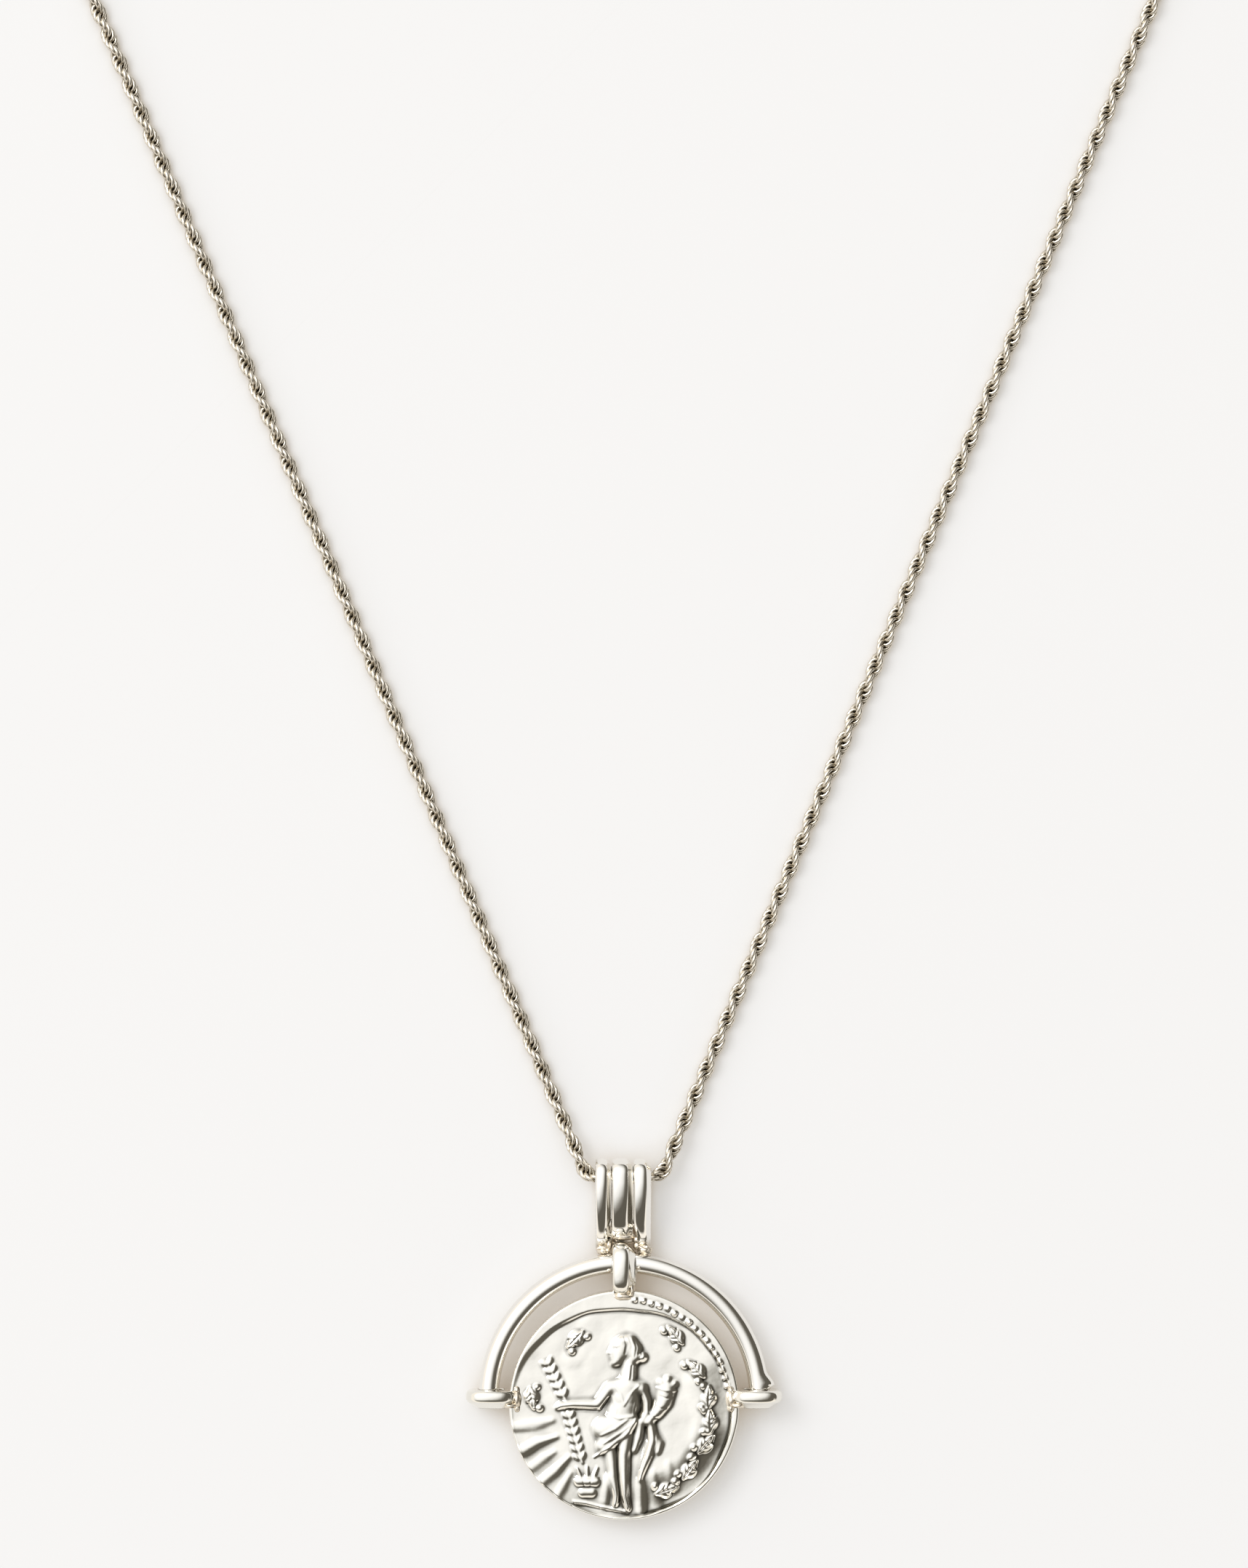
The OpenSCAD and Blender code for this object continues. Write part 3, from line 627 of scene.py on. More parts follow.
# %% From strokes to heights
def stroke_height(x, y, strokes, crown=2.0, fall=1.0, blend=5):
    """Height of rounded strokes over all points; where strokes meet, they flow together.

    A higher crown is flatter on top, and a lower fall is steeper at the foot.
    """
    total = np.zeros_like(x)
    for high, *points in strokes:
        points = points if len(points) > 1 else points * 2
        nearest = np.full_like(x, 9.0)  # distance from the stroke's line as a share of its half width
        for (x0, y0, w0), (x1, y1, w1) in zip(points, points[1:]):
            run = max((x1 - x0) ** 2 + (y1 - y0) ** 2, 1e-6)
            t = np.clip(((x - x0) * (x1 - x0) + (y - y0) * (y1 - y0)) / run, 0, 1)
            reach = np.hypot(x - x0 - t * (x1 - x0), y - y0 - t * (y1 - y0))
            nearest = np.minimum(nearest, reach / (w0 + t * (w1 - w0)))
        total += (high * np.clip(1 - nearest**crown, 0, 1) ** fall) ** blend
    return total ** (1 / blend)


# %% [markdown]
# Grains, leaves and teeth repeat, so loops lay them out. The grains stand in pairs along the staff,
# and the leaves, each with two berries and a ribbed blade, follow the border. The teeth are a
# formula by angle: a die cutter punched them one by one, and wear has made them lean.

# %% Grains and leaves
# Where the first and last pair of grains stand on each length of the staff, and how many pairs
GRAIN_ROWS = [((-66, 36), (-53, 9), 5), ((-47.5, -10), (-38, -46), 6)]
# Angle in degrees, distance from the middle in hundredths of the radius, and turn from the border
LEAVES = [
    (127, 71, 10), (54, 75.5, -14), (27, 70, 18), (6, 74, -8), (350, 76, 12),
    (335, 79, -15), (316, 80, 8), (297, 83, -10), (176, 80, 14),
]


def grain_strokes():
    """Pairs of grains along both lengths of the staff."""
    rows = []
    for start, end, count in GRAIN_ROWS:
        along = Vector(end) - Vector(start)
        across = Vector((-along.y, along.x)).normalized()
        for i in range(count):
            foot = Vector(start) + along * i / (count - 1)
            for side in (-1, 1):
                tip = foot + side * 4.6 * across - 4.5 * along.normalized()
                low = foot + side * 2.2 * across
                rows.append((0.14, (*low, 1.8), (*low.lerp(tip, 0.5), 2.6), (*tip, 0.9)))
    return rows


def leaf_strokes():
    """Leaves with a berry on either side, laid along the border, and the ribs cut into them."""
    leaves, ribs = [], []
    for angle, radius, turn in LEAVES:
        centre = radius * Vector((math.cos(math.radians(angle)), math.sin(math.radians(angle))))
        heading_angle = math.radians(angle + 90 + turn)
        along = Vector((math.cos(heading_angle), math.sin(heading_angle)))
        across = Vector((-along.y, along.x))
        blade = [(*(centre + reach * along), half) for reach, half in [(-10, 1.2), (-2, 7), (9, 1)]]
        leaves.append((0.26, *blade))
        for reach, aside, size in [(-9.5, 6, 3.2), (9, 5, 3.6)]:
            leaves.append((0.22, (*(centre + reach * along + aside * across), size)))
        ribs.append((0.10, (*(centre - 9 * along), 1), (*(centre + 7 * along), 1.2)))
        for reach in (-4.5, -0.5):
            for side in (-1, 1):
                root = centre + reach * along
                ribs.append((0.08, (*root, 0.9), (*(root + 4 * along + side * 4.5 * across), 0.8)))
    return leaves, ribs


print(len(grain_strokes()), "grains and", len(LEAVES), "leaves")

# %% [markdown]
# The blank lay askew in the die, so the rim is broad and high at the upper left, and runs off the
# coin at the left. At the lower right the field falls away towards it. Both change slowly with the
# angle, so they are short tables by angle, read as smooth curves. A lathed rim would be too even.

# %% The rim, the fall of the field and the teeth, by angle
# Angle in degrees: where the rim starts in hundredths of the radius, its height and the width of its wall
RIM = [
    (0, 93, 0.15, 1.5), (30, 88.5, 0.17, 2), (60, 85, 0.19, 2), (90, 81, 0.20, 2.5),
    (120, 85, 0.20, 4.5), (140, 88.5, 0.18, 6.5), (160, 92.5, 0.10, 6), (180, 97, 0.03, 3),
    (225, 97.5, 0.05, 1.5), (270, 96.5, 0.14, 1.5), (315, 95.5, 0.18, 1.5), (360, 93, 0.15, 1.5),
]
RIM_WANDER = 0.35  # how unevenly the rim starts, in hundredths of the radius
# Angle in degrees and how far the field falls towards the rim, mm
FALL = [
    (0, 0.28), (40, 0.06), (90, 0.0), (200, 0.0), (240, 0.18),
    (280, 0.34), (315, 0.62), (340, 0.56), (360, 0.28),
]
FALL_FROM = 64  # where the field begins to fall, in hundredths of the radius
TEETH, TEETH_FROM, TOOTH = 17, 87.0, 4.6  # how many teeth, where they begin and the step, degrees
TOOTH_H = 0.18  # mm
TOOTH_CREST = 0.72  # where in its step a tooth is highest: it drops off on the side away from the light
TEETH_R, TEETH_DRIFT = 92.4, 0.12  # where the row begins, and how far it drifts inwards at each tooth
TOOTH_HALF, TOOTH_FADE = 0.5, 3  # half length of a tooth, and how softly it ends, hundredths of the radius


def smooth(t):
    """A smooth step over an array."""
    t = np.clip(t, 0, 1)
    return t * t * (3 - 2 * t)


def spread(values, times):
    """Averages a square array with its neighbours, as polishing softens a surface."""
    for _ in range(times):
        padded = np.pad(values, 1, mode="edge")
        around = padded[:-2, 1:-1] + padded[2:, 1:-1] + padded[1:-1, :-2] + padded[1:-1, 2:]
        values = (around + 2 * values) / 6
    return values


def by_angle(angle, degrees, values):
    """A table by angle, read as a smooth curve that closes round the coin."""
    even = np.arange(-60, 420)
    curve = np.interp(even % 360, degrees, values)
    window = np.hanning(43)
    curve = np.convolve(curve, window / window.sum(), mode="same")
    return np.interp(angle, even, curve)


def teeth(r, angle):
    """Worn teeth along the rim, each rising slowly and dropping off sharply."""
    count = (TEETH_FROM - angle) / TOOTH
    share = count % 1
    tooth = np.minimum(share / TOOTH_CREST, (1 - share) / (1 - TOOTH_CREST))
    middle = TEETH_R - TEETH_DRIFT * np.clip(count, 0, TEETH) + 0.5 * np.sin(2.1 * np.floor(count))
    band = 1 - smooth((np.abs(r - middle) - TOOTH_HALF) / TOOTH_FADE)
    size = TOOTH_H * (1 + 0.3 * np.sin(2.9 * np.floor(count)))
    return size * tooth * band * ((count > 0) & (count < TEETH))


print(f"{TEETH} teeth over {TEETH * TOOTH:.0f} degrees")

# %% [markdown]
# Now the layers are laid over each other as a die cutter works: the forms of the figure, the soft
# waves of the field between them, the rim, then fine ridges and grooves, and last the teeth. Polishing
# softens large forms more than fine ones, so each is averaged by its own amount.

# %% The whole relief
# How often each layer is averaged with its neighbours
FIGURE_POLISH, SMALL_POLISH, FIELD_POLISH, LINE_POLISH, TEETH_POLISH = 12, 3, 14, 2, 1
SOFT_DEPTH = 2.0  # how much deeper the soft waves of the field are than their table says


def coin_height(x, y):
    """Height above the field in mm at points given in hundredths of the coin's radius."""
    r = np.hypot(x, y)
    angle = np.degrees(np.arctan2(y, x)) % 360
    degrees, starts, heights, walls = zip(*RIM)
    start = by_angle(angle, degrees, starts)
    start += RIM_WANDER * (np.sin(np.radians(7 * angle + 40)) + 0.7 * np.sin(np.radians(17 * angle)))
    rim = by_angle(angle, degrees, heights) * smooth((r - start) / by_angle(angle, degrees, walls))
    waver = 1 + 0.25 * np.sin(np.radians(9 * angle))
    fall = by_angle(angle, *zip(*FALL)) * smooth((r - FALL_FROM) / (start - FALL_FROM)) * waver
    fall *= 1 - 0.5 * smooth((r - start) / 2)
    leaves, ribs = leaf_strokes()
    figure = stroke_height(x, y, HEAD + BODY + CLOTH, crown=2.2, fall=0.9)
    figure = spread(figure, FIGURE_POLISH)
    small = stroke_height(x, y, STAFF + grain_strokes() + leaves, crown=2.2, fall=0.8)
    small = spread(small, SMALL_POLISH)
    soft = spread(SOFT_DEPTH * stroke_height(x, y, FLUTES), FIELD_POLISH)
    forms = spread(np.maximum(figure, small) + soft * (1 - figure) + rim, SMALL_POLISH) - fall
    lines = stroke_height(x, y, RIDGES, blend=3)
    lines -= stroke_height(x, y, GROOVES + ribs, blend=3)
    return forms + spread(lines, LINE_POLISH) + spread(teeth(r, angle), TEETH_POLISH)


# %% [markdown]
# The face starts as a square grid, because its cells stay of like size everywhere. A circle filled
# from its middle would crowd its triangles there and have long ones at the rim. The grid is drawn
# out to a disc, every vertex is lifted to the relief, and the unevenness of a casting is added in
# three lengths of wave. What lies lower than its surroundings is marked, and tarnish stays there.

# %% The face is a grid drawn out to a disc
FACE_CELLS = 296  # few enough that the coin stays under 200,000 triangles with its edge
FACE_LEVEL = COIN_T / 2  # the field above the coin's own middle plane, mm
EDGE = 0.18  # width that the rounded edge takes, mm
WAVES = [(3.2, 0.08), (1.5, 0.03), (0.8, 0.008)]  # unevenness of the casting: length and depth, mm
LOW_REACH = 40  # how widely a point is compared with its surroundings, in rounds of averaging
LOW_FROM, LOW_RANGE = 0.01, 0.05  # tarnish begins this much lower than they lie, and is full after the range

bm = bmesh.new()
bmesh.ops.create_grid(bm, x_segments=FACE_CELLS, y_segments=FACE_CELLS, size=1)
bm.verts.ensure_lookup_table()
grid_points = np.array([vert.co for vert in bm.verts]).reshape(FACE_CELLS + 1, FACE_CELLS + 1, 3)
u, v = grid_points[..., 0], grid_points[..., 1]
face_r = coin_r - EDGE
share = 100 * face_r / coin_r
face_x = u * np.sqrt(1 - v * v / 2) * share
face_y = v * np.sqrt(1 - u * u / 2) * share
uneven = np.array([
    sum(depth * noise.noise(Vector((px, py, 3 + 90 * depth)) * coin_r / 100 / wave) for wave, depth in WAVES)
    for px, py in zip(face_x.ravel(), face_y.ravel())
]).reshape(u.shape)
height = coin_height(face_x, face_y) + uneven
recess = np.clip((spread(height, LOW_REACH) - height - LOW_FROM) / LOW_RANGE, 0, 1)
print(f"relief from {height.min():.2f} to {height.max():.2f} mm")

recess_layer = bm.verts.layers.float.new("recess")
columns = (face_x, face_y, height, recess)
for vert, px, py, pz, dark in zip(bm.verts, *(column.ravel() for column in columns)):
    vert.co = (px * coin_r / 100, py * coin_r / 100, FACE_LEVEL + pz)
    vert[recess_layer] = dark

# %% [markdown]
# The edge of a cast coin is rounded over in front and filed flat at the back.
# The open border of the face is extruded outwards and down through a few rings, and the last ring is
# filled. The rings pull the border's own unevenness out with them, which a separate cylinder wouldn't.

# %% The coin's edge and back
# How far out each ring lies from the face's border, as a share of EDGE, and its step down from the last
EDGE_RINGS = [(0.5, 0.13), (0.85, 0.36), (1.0, 0.7)]
EDGE_DROP = 0.22  # what those steps are shares of, mm
BACK_EDGE = 0.4  # width of the chamfer round the back, mm
back = -COIN_T / 2
# Radius and level of the rings that follow, from the coin's side round the chamfer to the flat back
SIDE_RINGS = [
    (coin_r, 0.0),
    (coin_r, BACK_EDGE + back + 0.1),
    (coin_r - 0.05, BACK_EDGE + back - 0.05),
    (coin_r - BACK_EDGE + 0.08, back + 0.05),
    (coin_r - BACK_EDGE - 0.1, back),
]

border = [edge for edge in bm.edges if edge.is_boundary]
rings = [(face_r + out * EDGE, None, down * EDGE_DROP) for out, down in EDGE_RINGS]
rings += [(radius, level, 0) for radius, level in SIDE_RINGS]
for ring_r_mm, level, down in rings:
    made = bmesh.ops.extrude_edge_only(bm, edges=border)["geom"]
    border = [item for item in made if isinstance(item, bmesh.types.BMEdge)]
    for vert in [item for item in made if isinstance(item, bmesh.types.BMVert)]:
        out = Vector(vert.co.xy).normalized() * ring_r_mm
        vert.co = (out.x, out.y, vert.co.z - down if level is None else level)
        vert[recess_layer] = 0
bmesh.ops.contextual_create(bm, geom=border)
bmesh.ops.recalc_face_normals(bm, faces=bm.faces)
bmesh.ops.translate(bm, verts=bm.verts, vec=(0, coin_y, plane_z))
finish_piece("coin_face", bm, cast_silver, ["coin"])

# %% [markdown]
# Nothing that is bent by hand is a true circle or oval. A few points say where a section or an
# outline passes, and a smooth closed curve runs through every one of them. A curve that only comes
# near its points, as most do, would need them moved out until it happens to fit.

# %% Smooth curves through chosen points
def through(points, steps):
    """A smooth closed curve that passes through every point, with a few steps between them."""
    points = [Vector(point) for point in points]
    curve = []
    for i, here in enumerate(points):
        before, ahead, beyond = (points[(i + k) % len(points)] for k in (-1, 1, 2))
        bend = 2 * before - 5 * here + 4 * ahead - beyond
        turn = 3 * here - before - 3 * ahead + beyond
        for t in np.arange(steps) / steps:
            curve.append((2 * here + (ahead - before) * t + bend * t**2 + turn * t**3) / 2)
    return curve


def join_into(bm, part, place=Matrix()):
    """Adds one bmesh to another at a place, and frees it."""
    mesh = bpy.data.meshes.new("part")
    part.to_mesh(mesh)
    part.free()
    mesh.transform(place)
    bm.from_mesh(mesh)
    bpy.data.meshes.remove(mesh)


square_test = through([(0, 0), (1, 0), (1, 1), (0, 1)], 2)
print("halfway between two corners of a square, the curve bulges to y =", round(square_test[1].y, 3))

# %% [markdown]
# Loops and bail rings are bent from silver strip with a flat inside and a crowned outside.
# The crown leans to the left, and the right wall was filed to a slope, which is why each ring has a
# bright left side and one dark crescent. The section is spun into a closed ring, and the ring's
# vertices are then pushed onto the outline that the smith gave it on a mandrel. A curve with a bevel
# could do it too, but the section would have to turn with the curve, and the flat inside is easy to
# lose.

# %% Rings of crowned strip
RING_STEPS = 90
TAPER_FROM, TAPER_LEN = 14.2, 1.4  # where a tapered ring starts to narrow, above the arc's centre, mm
WOBBLE = 0.05  # how far a hand-bent ring wanders sideways, mm
SPUN_R = 10.0  # radius at which the section is spun before it is pushed into place, mm


def strip_section(wall):
    """Section of the strip, in shares of its width and thickness, with a filed wall on its right."""
    ridge = 0.5 - wall
    left = [(-0.5, 0), (-0.5, 0.5), (-0.493, 0.68), (-0.46, 0.81), (-0.39, 0.91), (-0.28, 0.975)]
    crown = [(-0.14, 1), (0, 0.985), (0.37 * ridge, 0.94), (0.68 * ridge, 0.86), (0.9 * ridge, 0.75)]
    filed = [(ridge, 0.64), (0.5 - 0.5 * wall, 0.3), (0.495, 0.02)]
    inside = [(0.44, -0.03), (-0.44, -0.03)]
    return through(left + crown + filed + inside, 2)


def strip_ring(bm, width, thick, outline, place, wall=0.2, taper=0.0, seed=0.0):
    """Adds a closed ring of crowned strip to a bmesh.

    outline(angle) gives a point of its outside, the normal there and a share of the thickness.
    A negative wall is on the left. A taper is the share of its width that the strip loses towards
    its foot, on the side that its sign names.
    """
    ring = bmesh.new()
    section = strip_section(abs(wall))
    made = bmesh.ops.create_circle(ring, segments=len(section), radius=1)
    for vert, (across, out) in zip(made["verts"], section):
        vert.co = (math.copysign(width, wall) * across, SPUN_R + out * thick, 0)
    bmesh.ops.spin(ring, geom=ring.verts[:] + ring.edges[:], axis=(1, 0, 0), cent=(0, 0, 0),
                   angle=2 * math.pi, steps=RING_STEPS, use_merge=True)
    for vert in ring.verts:
        angle = math.atan2(vert.co.z, vert.co.y)
        point, normal, thin = outline(angle)
        spot = point - normal * thin * (SPUN_R + thick - math.hypot(vert.co.y, vert.co.z))
        lost = abs(taper) * width * ease((TAPER_FROM - spot.x) / TAPER_LEN)
        side = math.copysign(1, taper)
        wobble = WOBBLE * noise.noise(Vector((seed, 0.4 * spot.x, 0)))
        vert.co = (vert.co.x - side * lost * (0.5 + side * vert.co.x / width) + wobble, spot.x, spot.y)
    bmesh.ops.recalc_face_normals(ring, faces=ring.faces)
    join_into(bm, ring, place)


print(f"section of {len(strip_section(0.2))} points, {RING_STEPS} steps round")


# %% The outline of a ring
THIN_LEN = 1.6  # how far above its foot a ring starts to thin, mm
LOOK = 0.06  # how far to each side a normal looks along the outline, as an angle


def outline_through(points, thin_foot=1.0):
    """Outline of a ring in its side view: a smooth closed curve through points of its outside.

    The points start at the top and go down the front. The strip's thickness lies inside them, and
    it's hammered thinner towards the foot, where the curve is too tight for it.
    """
    curve = through(points, 8)
    curve.append(curve[0])
    gone = np.concatenate([[0], np.cumsum([(b - a).length for a, b in zip(curve, curve[1:])])])
    along, height = np.array(curve).T

    def outline(angle):
        def spot(a):
            way = a / (2 * math.pi) % 1 * gone[-1]
            return Vector((np.interp(way, gone, along), np.interp(way, gone, height)))

        ahead = spot(angle + LOOK) - spot(angle - LOOK)
        normal = Vector((ahead.y, -ahead.x)).normalized()
        thin = thin_foot + (1 - thin_foot) * ease((spot(angle).x - along.min()) / THIN_LEN)
        return spot(angle), normal, thin

    return outline


def oval_points(top, foot, half_depth, bulge, count=16):
    """Points of an oval that reaches from its foot to its top: a higher bulge is squarer."""
    points = []
    for i in range(count):
        a = 2 * math.pi * i / count
        along = math.copysign(abs(math.cos(a)) ** (2 / bulge), math.cos(a))
        out = math.copysign(abs(math.sin(a)) ** (2 / bulge), math.sin(a))
        points.append(((top + foot) / 2 + along * (top - foot) / 2, out * half_depth))
    return points


print("the oval of a ring has", len(oval_points(1, -1, 1, 2)), "points")

# %% [markdown]
# Solder runs into every joint and freezes as a small rough lump. A torch leaves no two alike, so
# each lump is a ball, pulled to its joint's size, squared a little, and swollen and creased by
# noise. A boolean union with a fillet could join the pieces, but it would be far too clean.

# %% Solder
def solder(bm, centre, size, seed, rough=0.12, square=0.8):
    """Adds a lump of solder with given half sizes to a bmesh, and gives back its vertices."""
    made = bmesh.ops.create_icosphere(bm, subdivisions=4, radius=1)
    for vert in made["verts"]:
        swell = noise.noise(vert.co * 1.4 + Vector((seed, 0, 0)))
        crease = abs(noise.noise(vert.co * 2.4 + Vector((0, seed, 0))))
        push = 1 + rough * (swell - crease)
        squared = [math.copysign(abs(part) ** square, part) for part in vert.co]
        vert.co = Vector(part * push * half for part, half in zip(squared, size)) + Vector(centre)
    return made["verts"]


# %% [markdown]
# Three loops hold the coin in the arc: two lie across its ends, and the broad one hangs from its top.
# Each is a ring of strip with a nearly square outline, so it stands up steeply from the table, and
# solder flows from its foot onto the coin and up along its filed wall.

# %% Loops of the coin
LOOP_BORE = WIRE_D / 2 + GAP
# Direction in degrees; width, outer end and end on the coin in mm from the wire's middle; filed wall
LOOPS = [(0, 1.42, 1.86, -2.3, 0.26), (90, 1.84, 1.74, -2.65, 0.26), (180, 1.42, 1.86, -2.3, -0.26)]
bm = bmesh.new()
bm.verts.layers.float.new("recess")
for angle, width, reach, foot, wall in LOOPS:
    turn = Matrix.Rotation(math.radians(angle - 90), 4, "Z")
    place = Matrix.Translation((0, arc_y, plane_z)) @ turn @ Matrix.Translation((0, arc_r, 0))
    outline = outline_through(oval_points(reach, foot, LOOP_BORE + LOOP_T, bulge=2.7))
    strip_ring(bm, width, reach - LOOP_BORE, outline, place, wall=wall)
finish_piece("coin_loops", bm, cast_silver, ["coin"])

# %% Solder at the loops' feet
bm = bmesh.new()
for angle, width, reach, foot, wall in LOOPS:
    turn = Matrix.Rotation(math.radians(angle - 90), 4, "Z")
    side = math.copysign(0.34 * width, wall)
    foot_y = arc_r + foot
    for x, y, z, size, seed in [
        (0, 0.02, 0.1, (0.64 * width, 0.45, 1.25), 3),
        (-0.7, 0.02, 0.1, (0.5, 0.36, 1.0), 7),
        (0.7, 0.02, 0.1, (0.5, 0.36, 1.0), 12),
        (side, 0.55, 0.3, (0.3, 0.75, 1.1), 5),
    ]:
        lump = solder(bm, (x, foot_y + y, z), size, seed + angle, rough=0.06, square=0.9)
        bmesh.ops.transform(bm, matrix=Matrix.Translation((0, arc_y, plane_z)) @ turn, verts=lump)
finish_piece("coin_solder", bm, solder_silver, ["coin"])

# %% [markdown]
# The arc is one length of round wire, spun from a circle over half a turn. Its right end was pinched
# by pliers and stands out like a mushroom's brim. The bail on top of it is three rings side by side.
# From the side each ring is a long drop: upright at the top, straight down the back, and leaning in
# towards its foot in front. The middle ring ends higher, because the coin's top loop passes below it.

# %% The arc
ARC_STEPS, ARC_SIDES = 144, 28
WIRE_SHARE, WIRE_UNEVEN = 0.985, 0.012  # thickness of the wire as a share of WIRE_D, and how it varies
FLARE = 0.5  # how far the wire's right end was mushroomed by the pliers, mm
# The flare fades in over the first range of degrees above the arc's right end, and out over the second
FLARE_IN, FLARE_OUT = (4.2, 5.4), (11, 5)

bm = bmesh.new()
arc_end = math.asin((LOOP_W / 2 - GAP) / arc_r)
on_edge = Matrix.Translation((arc_r, 0, 0)) @ Matrix.Rotation(math.pi / 2, 4, "X")
start = Matrix.Rotation(-arc_end, 4, "Z") @ on_edge
bmesh.ops.create_circle(bm, segments=ARC_SIDES, radius=WIRE_D / 2, matrix=start)
bmesh.ops.spin(bm, geom=bm.verts[:] + bm.edges[:], axis=(0, 0, 1), cent=(0, 0, 0),
               angle=math.pi + 2 * arc_end, steps=ARC_STEPS)
bmesh.ops.holes_fill(bm, edges=[edge for edge in bm.edges if edge.is_boundary])
for vert in bm.verts:
    middle = Vector((vert.co.x, vert.co.y, 0)).normalized() * arc_r
    swell = WIRE_SHARE + WIRE_UNEVEN * noise.noise(middle * 0.35)
    vert.co = middle + (vert.co - middle) * swell
    turn = math.degrees(math.atan2(vert.co.y, vert.co.x))
    outward = max(0.0, (vert.co - middle).dot(middle.normalized())) / WIRE_D * 2
    fade = ease((turn - FLARE_IN[0]) / (FLARE_IN[1] - FLARE_IN[0]))
    fade *= ease((turn - FLARE_OUT[0]) / (FLARE_OUT[1] - FLARE_OUT[0]))
    vert.co += middle.normalized() * FLARE * outward * fade
bmesh.ops.recalc_face_normals(bm, faces=bm.faces)
bmesh.ops.translate(bm, verts=bm.verts, vec=(0, arc_y, plane_z))
print(f"wire of {WIRE_D} mm over {180 + 2 * math.degrees(arc_end):.0f} degrees")

# %% The bail
BAIL_THIN = 0.3  # thickness of the strip at its foot, as a share
# Side view of the rings: points of the outside, as y above the arc's centre and height, mm
BAIL_FRONT = [
    (19.3, 0), (19.2, 1.15), (18.6, 1.87), (17.5, 2.07),
    (16.4, 2.02), (15.4, 1.8), (14.6, 1.5), (13.8, 1.12),
]
SIDE_FOOT = [(13.15, 0.74), (12.6, 0.27), (12.2, -0.25), (11.92, -0.9), (11.9, -1.5), (12.3, -1.95)]
MIDDLE_FOOT = [(13.42, 0.82), (13.1, 0.46), (12.84, 0.1), (12.7, -0.5), (12.85, -1.3), (13.3, -1.85)]
SIDE_RING = BAIL_FRONT + SIDE_FOOT + [(14.0, -2.06), (16.5, -2.06), (18.3, -1.75)]
MIDDLE_RING = BAIL_FRONT + MIDDLE_FOOT + [(14.5, -2.06), (16.5, -2.06), (18.3, -1.75)]
# Middle, width, side view and taper of each ring of the bail, mm
BAIL_RINGS = [
    (-1.67, 1.22, SIDE_RING, 0.0), (-0.14, 1.66, MIDDLE_RING, 0.0), (1.45, 1.36, SIDE_RING, -0.2),
]

for x, width, points, taper in BAIL_RINGS:
    place = Matrix.Translation((x, arc_y, plane_z))
    outline = outline_through(points, BAIL_THIN)
    strip_ring(bm, width, BAIL_T, outline, place, taper=taper, seed=5 + x)
finish_piece("arc_and_bail", bm, wire_silver, ["arc_frame"])

# %% Solder at the bail's feet
# Place from the arc's centre, half sizes, seed and roughness: two lumps under each side ring, fillets
# between the rings and under the middle one, a bridge behind it, and two spots that ran along the wire
BAIL_SOLDER = [
    (-1.68, 11.86, -0.5, (0.58, 0.36, 0.8), 1.0, 0.2),
    (1.66, 11.86, -0.5, (0.6, 0.36, 0.8), 4.0, 0.2),
    (-1.7, 12.1, -0.15, (0.52, 0.2, 0.35), 11.0, 0.25),
    (1.62, 12.12, -0.15, (0.55, 0.22, 0.35), 12.0, 0.25),
    (-1.22, 12.4, -0.7, (0.26, 0.6, 0.7), 2.0, 0.05),
    (1.05, 12.3, -0.6, (0.33, 0.4, 0.6), 3.0, 0.05),
    (1.1, 12.75, -0.4, (0.45, 0.34, 0.7), 5.0, 0.05),
    (-0.1, 13.02, -0.35, (0.95, 0.34, 0.8), 6.0, 0.03),
    (0.0, 12.72, -1.62, (1.2, 0.45, 0.28), 9.0, 0.05),
    (-1.15, 10.35, 0.5, (0.30, 0.16, 0.3), 7.0, 0.2),
    (1.16, 10.55, 0.55, (0.24, 0.2, 0.3), 8.0, 0.2),
]
bm = bmesh.new()
for x, y, z, size, seed, rough in BAIL_SOLDER:
    solder(bm, (x, arc_y + y, plane_z + z), size, seed, rough)
finish_piece("arc_solder", bm, solder_silver, ["arc_frame"])

# %% [markdown]
# The photograph doesn't show the ends of the chain, so they stay as plain as a workshop makes them.
# An end cap is turned on a lathe: its section is spun round the chain's direction, and a ring of
# wire is soldered to its closed end. A cylinder with its edges bevelled would lack the rolled mouth.

# %% End caps
CAP_STEPS, RING_AROUND, RING_SIDES = 40, 48, 16
CAP_SOLDER = ((0.72, 0, 0), (0.16, 0.55, 0.6), 20)  # place, half sizes and seed of its lump
# Section of a cap from the socket's floor round the mouth to the closed end: along the chain, radius, mm
CAP_SECTION = [
    (0.06, 0.0), (0.06, 0.6), (0.0, 0.75), (-2.05, 0.75), (-2.2, 0.84), (-2.17, 0.98),
    (-2.05, 1.05), (-1.85, 1.05), (-1.74, 0.97), (-1.62, 0.97), (-1.5, 1.04), (0.2, 1.04),
    (0.45, 0.98), (0.65, 0.82), (0.74, 0.55), (0.76, 0.0),
]

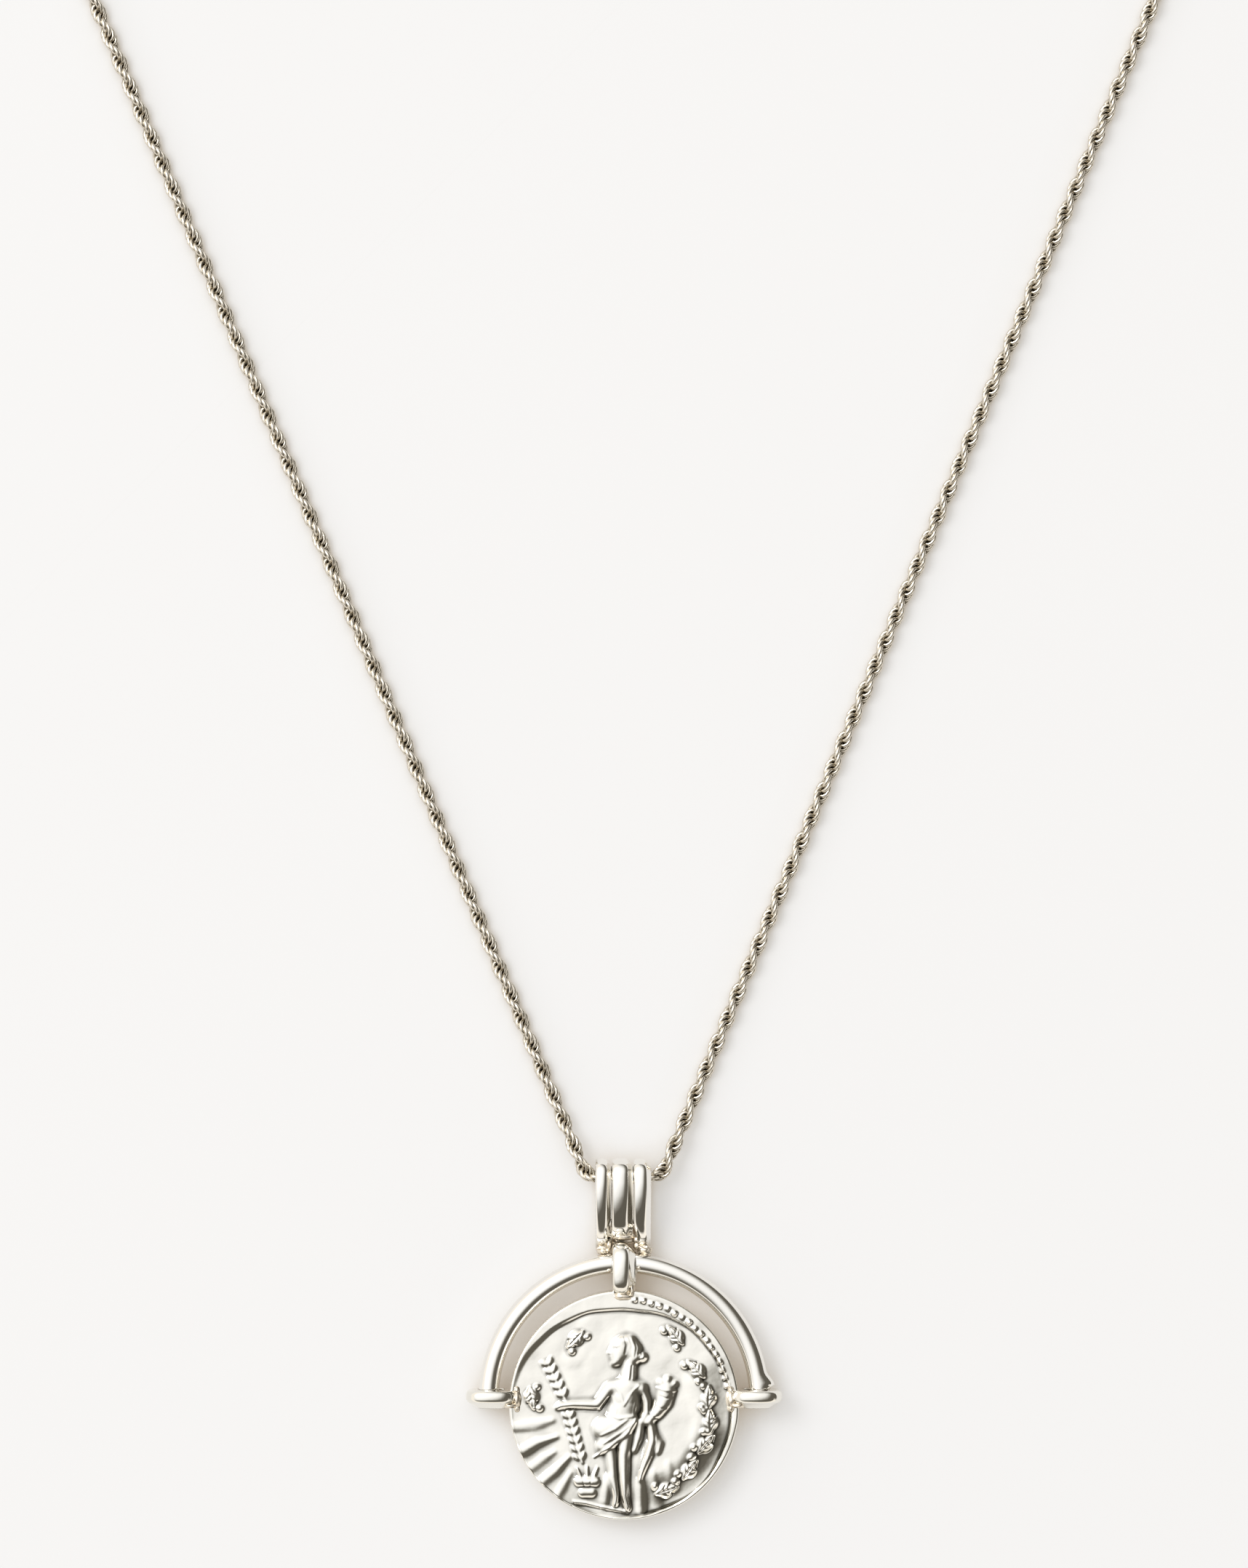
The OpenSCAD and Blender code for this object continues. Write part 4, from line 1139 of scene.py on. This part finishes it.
for side, name in [(-1, "end_cap_left"), (1, "end_cap_right")]:
    bm = bmesh.new()
    line = [bm.verts.new((along, 0, radius)) for along, radius in CAP_SECTION]
    edges = [bm.edges.new(pair) for pair in zip(line, line[1:])]
    bmesh.ops.spin(bm, geom=line + edges, axis=(1, 0, 0), cent=(0, 0, 0),
                   angle=2 * math.pi, steps=CAP_STEPS, use_merge=True)
    bmesh.ops.remove_doubles(bm, verts=bm.verts, dist=0.0005)
    ring = bmesh.new()
    on_edge = Matrix.Translation((RING_R, 0, 0)) @ Matrix.Rotation(math.pi / 2, 4, "X")
    bmesh.ops.create_circle(ring, segments=RING_SIDES, radius=RING_WIRE / 2, matrix=on_edge)
    bmesh.ops.spin(ring, geom=ring.verts[:] + ring.edges[:], axis=(0, 0, 1), cent=(0, 0, 0),
                   angle=2 * math.pi, steps=RING_AROUND, use_merge=True)
    bmesh.ops.rotate(ring, verts=ring.verts, cent=(0, 0, 0), matrix=Matrix.Rotation(math.pi / 2, 3, "X"))
    bmesh.ops.translate(ring, verts=ring.verts, vec=(CAP_TO_RING, 0, 0))
    join_into(bm, ring)
    centre, size, seed = CAP_SOLDER
    solder(bm, centre, size, seed + side)
    here = route(s_end)
    place = Matrix.Translation((here.x, here.y, RING_Z)) @ Matrix.Rotation(heading(s_end), 4, "Z")
    bmesh.ops.transform(bm, matrix=Matrix.Diagonal((side, 1, 1, 1)) @ place, verts=bm.verts)
    bmesh.ops.recalc_face_normals(bm, faces=bm.faces)
    finish_piece(name + "_turned", bm, clasp_silver, [name])

# %% [markdown]
# The clasp is cut from plate, tumbled until every edge is round, and riveted. Its outline and its two
# holes are drawn at several depths, a little further in at each, and joined wall by wall, so the
# holes are rounded too. A bevel of the cut plate would do for the outside, but it breaks up where
# the narrow neck of the slot meets its round end.

# %% Outlines of the clasp
CLASP_WALL = 0.85  # width of the metal round the holes
CLAW_R = 1.2
NECK_R = CLAW_R / 2
NECK_X = TAIL_HOLE + 1.4 * CLASP_WALL + NECK_R
CLAW_X = CLAW_LEN - CLAW_R
# How far the outline is drawn in, and at which height above the middle, mm
TUMBLED = [(0.0, 0.0), (0.02, 0.3), (0.09, 0.48), (0.2, 0.59), (0.36, 0.65)]
# Middle of the rivet along the clasp, its radius, its head's rise and the level of its middle, mm
RIVET_X, RIVET_R, RIVET_RISE, RIVET_Z = 1.545, 0.26, 0.11, 0.62


def capsule(x_from, r_from, x_to, r_to, waist=None, steps=14):
    """Points round a slot with round ends of two sizes, and a narrower waist between them if asked."""
    points = []
    for i in range(steps + 1):
        a = math.pi / 2 + math.pi * i / steps
        points.append((x_from + r_from * math.cos(a), r_from * math.sin(a)))
    upper = []
    for i in range(1, steps):
        t = i / steps
        x = x_from + (x_to - x_from) * t
        if waist is None:
            half = r_from + (r_to - r_from) * t
        elif x < waist[0]:
            half = r_from + (waist[1] - r_from) * ease((x - x_from) / (waist[0] - x_from))
        else:
            half = waist[1] + (r_to - waist[1]) * ease((x - waist[0]) / (x_to - waist[0]))
        points.append((x, -half))
        upper.append((x, half))
    for i in range(steps + 1):
        a = -math.pi / 2 + math.pi * i / steps
        points.append((x_to + r_to * math.cos(a), r_to * math.sin(a)))
    return points + upper[::-1]


def clasp_outlines(inset):
    """The clasp's outside and its two holes, drawn in by an inset."""
    wall = CLASP_WALL - inset
    return [
        capsule(0, TAIL_HOLE + wall, CLAW_X, CLAW_R + wall, waist=(NECK_X, NECK_R + wall)),
        capsule(-0.01, TAIL_HOLE + inset, 0.01, TAIL_HOLE + inset),
        capsule(NECK_X, NECK_R + inset, CLAW_X, CLAW_R + inset),
    ]


print([len(outline) for outline in clasp_outlines(0.0)], "points in the outline and the two holes")

# %% The clasp
bm = bmesh.new()
levels = [(inset, -height) for inset, height in reversed(TUMBLED)] + TUMBLED[1:]
for k in range(3):
    below = None
    for inset, height in levels:
        loop = [bm.verts.new((x, y, height)) for x, y in clasp_outlines(inset)[k]]
        for here, ahead in zip(loop, loop[1:] + loop[:1]):
            bm.edges.new((here, ahead))
        if below:
            for i in range(len(loop)):
                j = (i + 1) % len(loop)
                bm.faces.new((below[i], below[j], loop[j], loop[i]))
        below = loop
bmesh.ops.remove_doubles(bm, verts=bm.verts, dist=0.0005)
open_edges = [edge for edge in bm.edges if edge.is_boundary]
for level in (levels[0][1], levels[-1][1]):
    rim_edges = [edge for edge in open_edges if abs(edge.verts[0].co.z - level) < 0.001]
    bmesh.ops.triangle_fill(bm, edges=rim_edges, use_beauty=True)
for face_side in (-1, 1):
    rivet = bmesh.ops.create_uvsphere(bm, u_segments=24, v_segments=12, radius=1)
    for vert in rivet["verts"]:
        level = RIVET_RISE * vert.co.z + RIVET_Z * face_side
        vert.co = Vector((RIVET_R * vert.co.x + RIVET_X, RIVET_R * vert.co.y, level))
chain_end = route(s_end)
clasp_y = chain_end.y + CAP_TO_RING * math.sin(heading(s_end))
bmesh.ops.recalc_face_normals(bm, faces=bm.faces)
bmesh.ops.translate(bm, verts=bm.verts, vec=(wall_x + TAIL_HOLE - RING_HALF, clasp_y, RING_Z))
finish_piece("clasp_tumbled", bm, clasp_silver, ["clasp"])
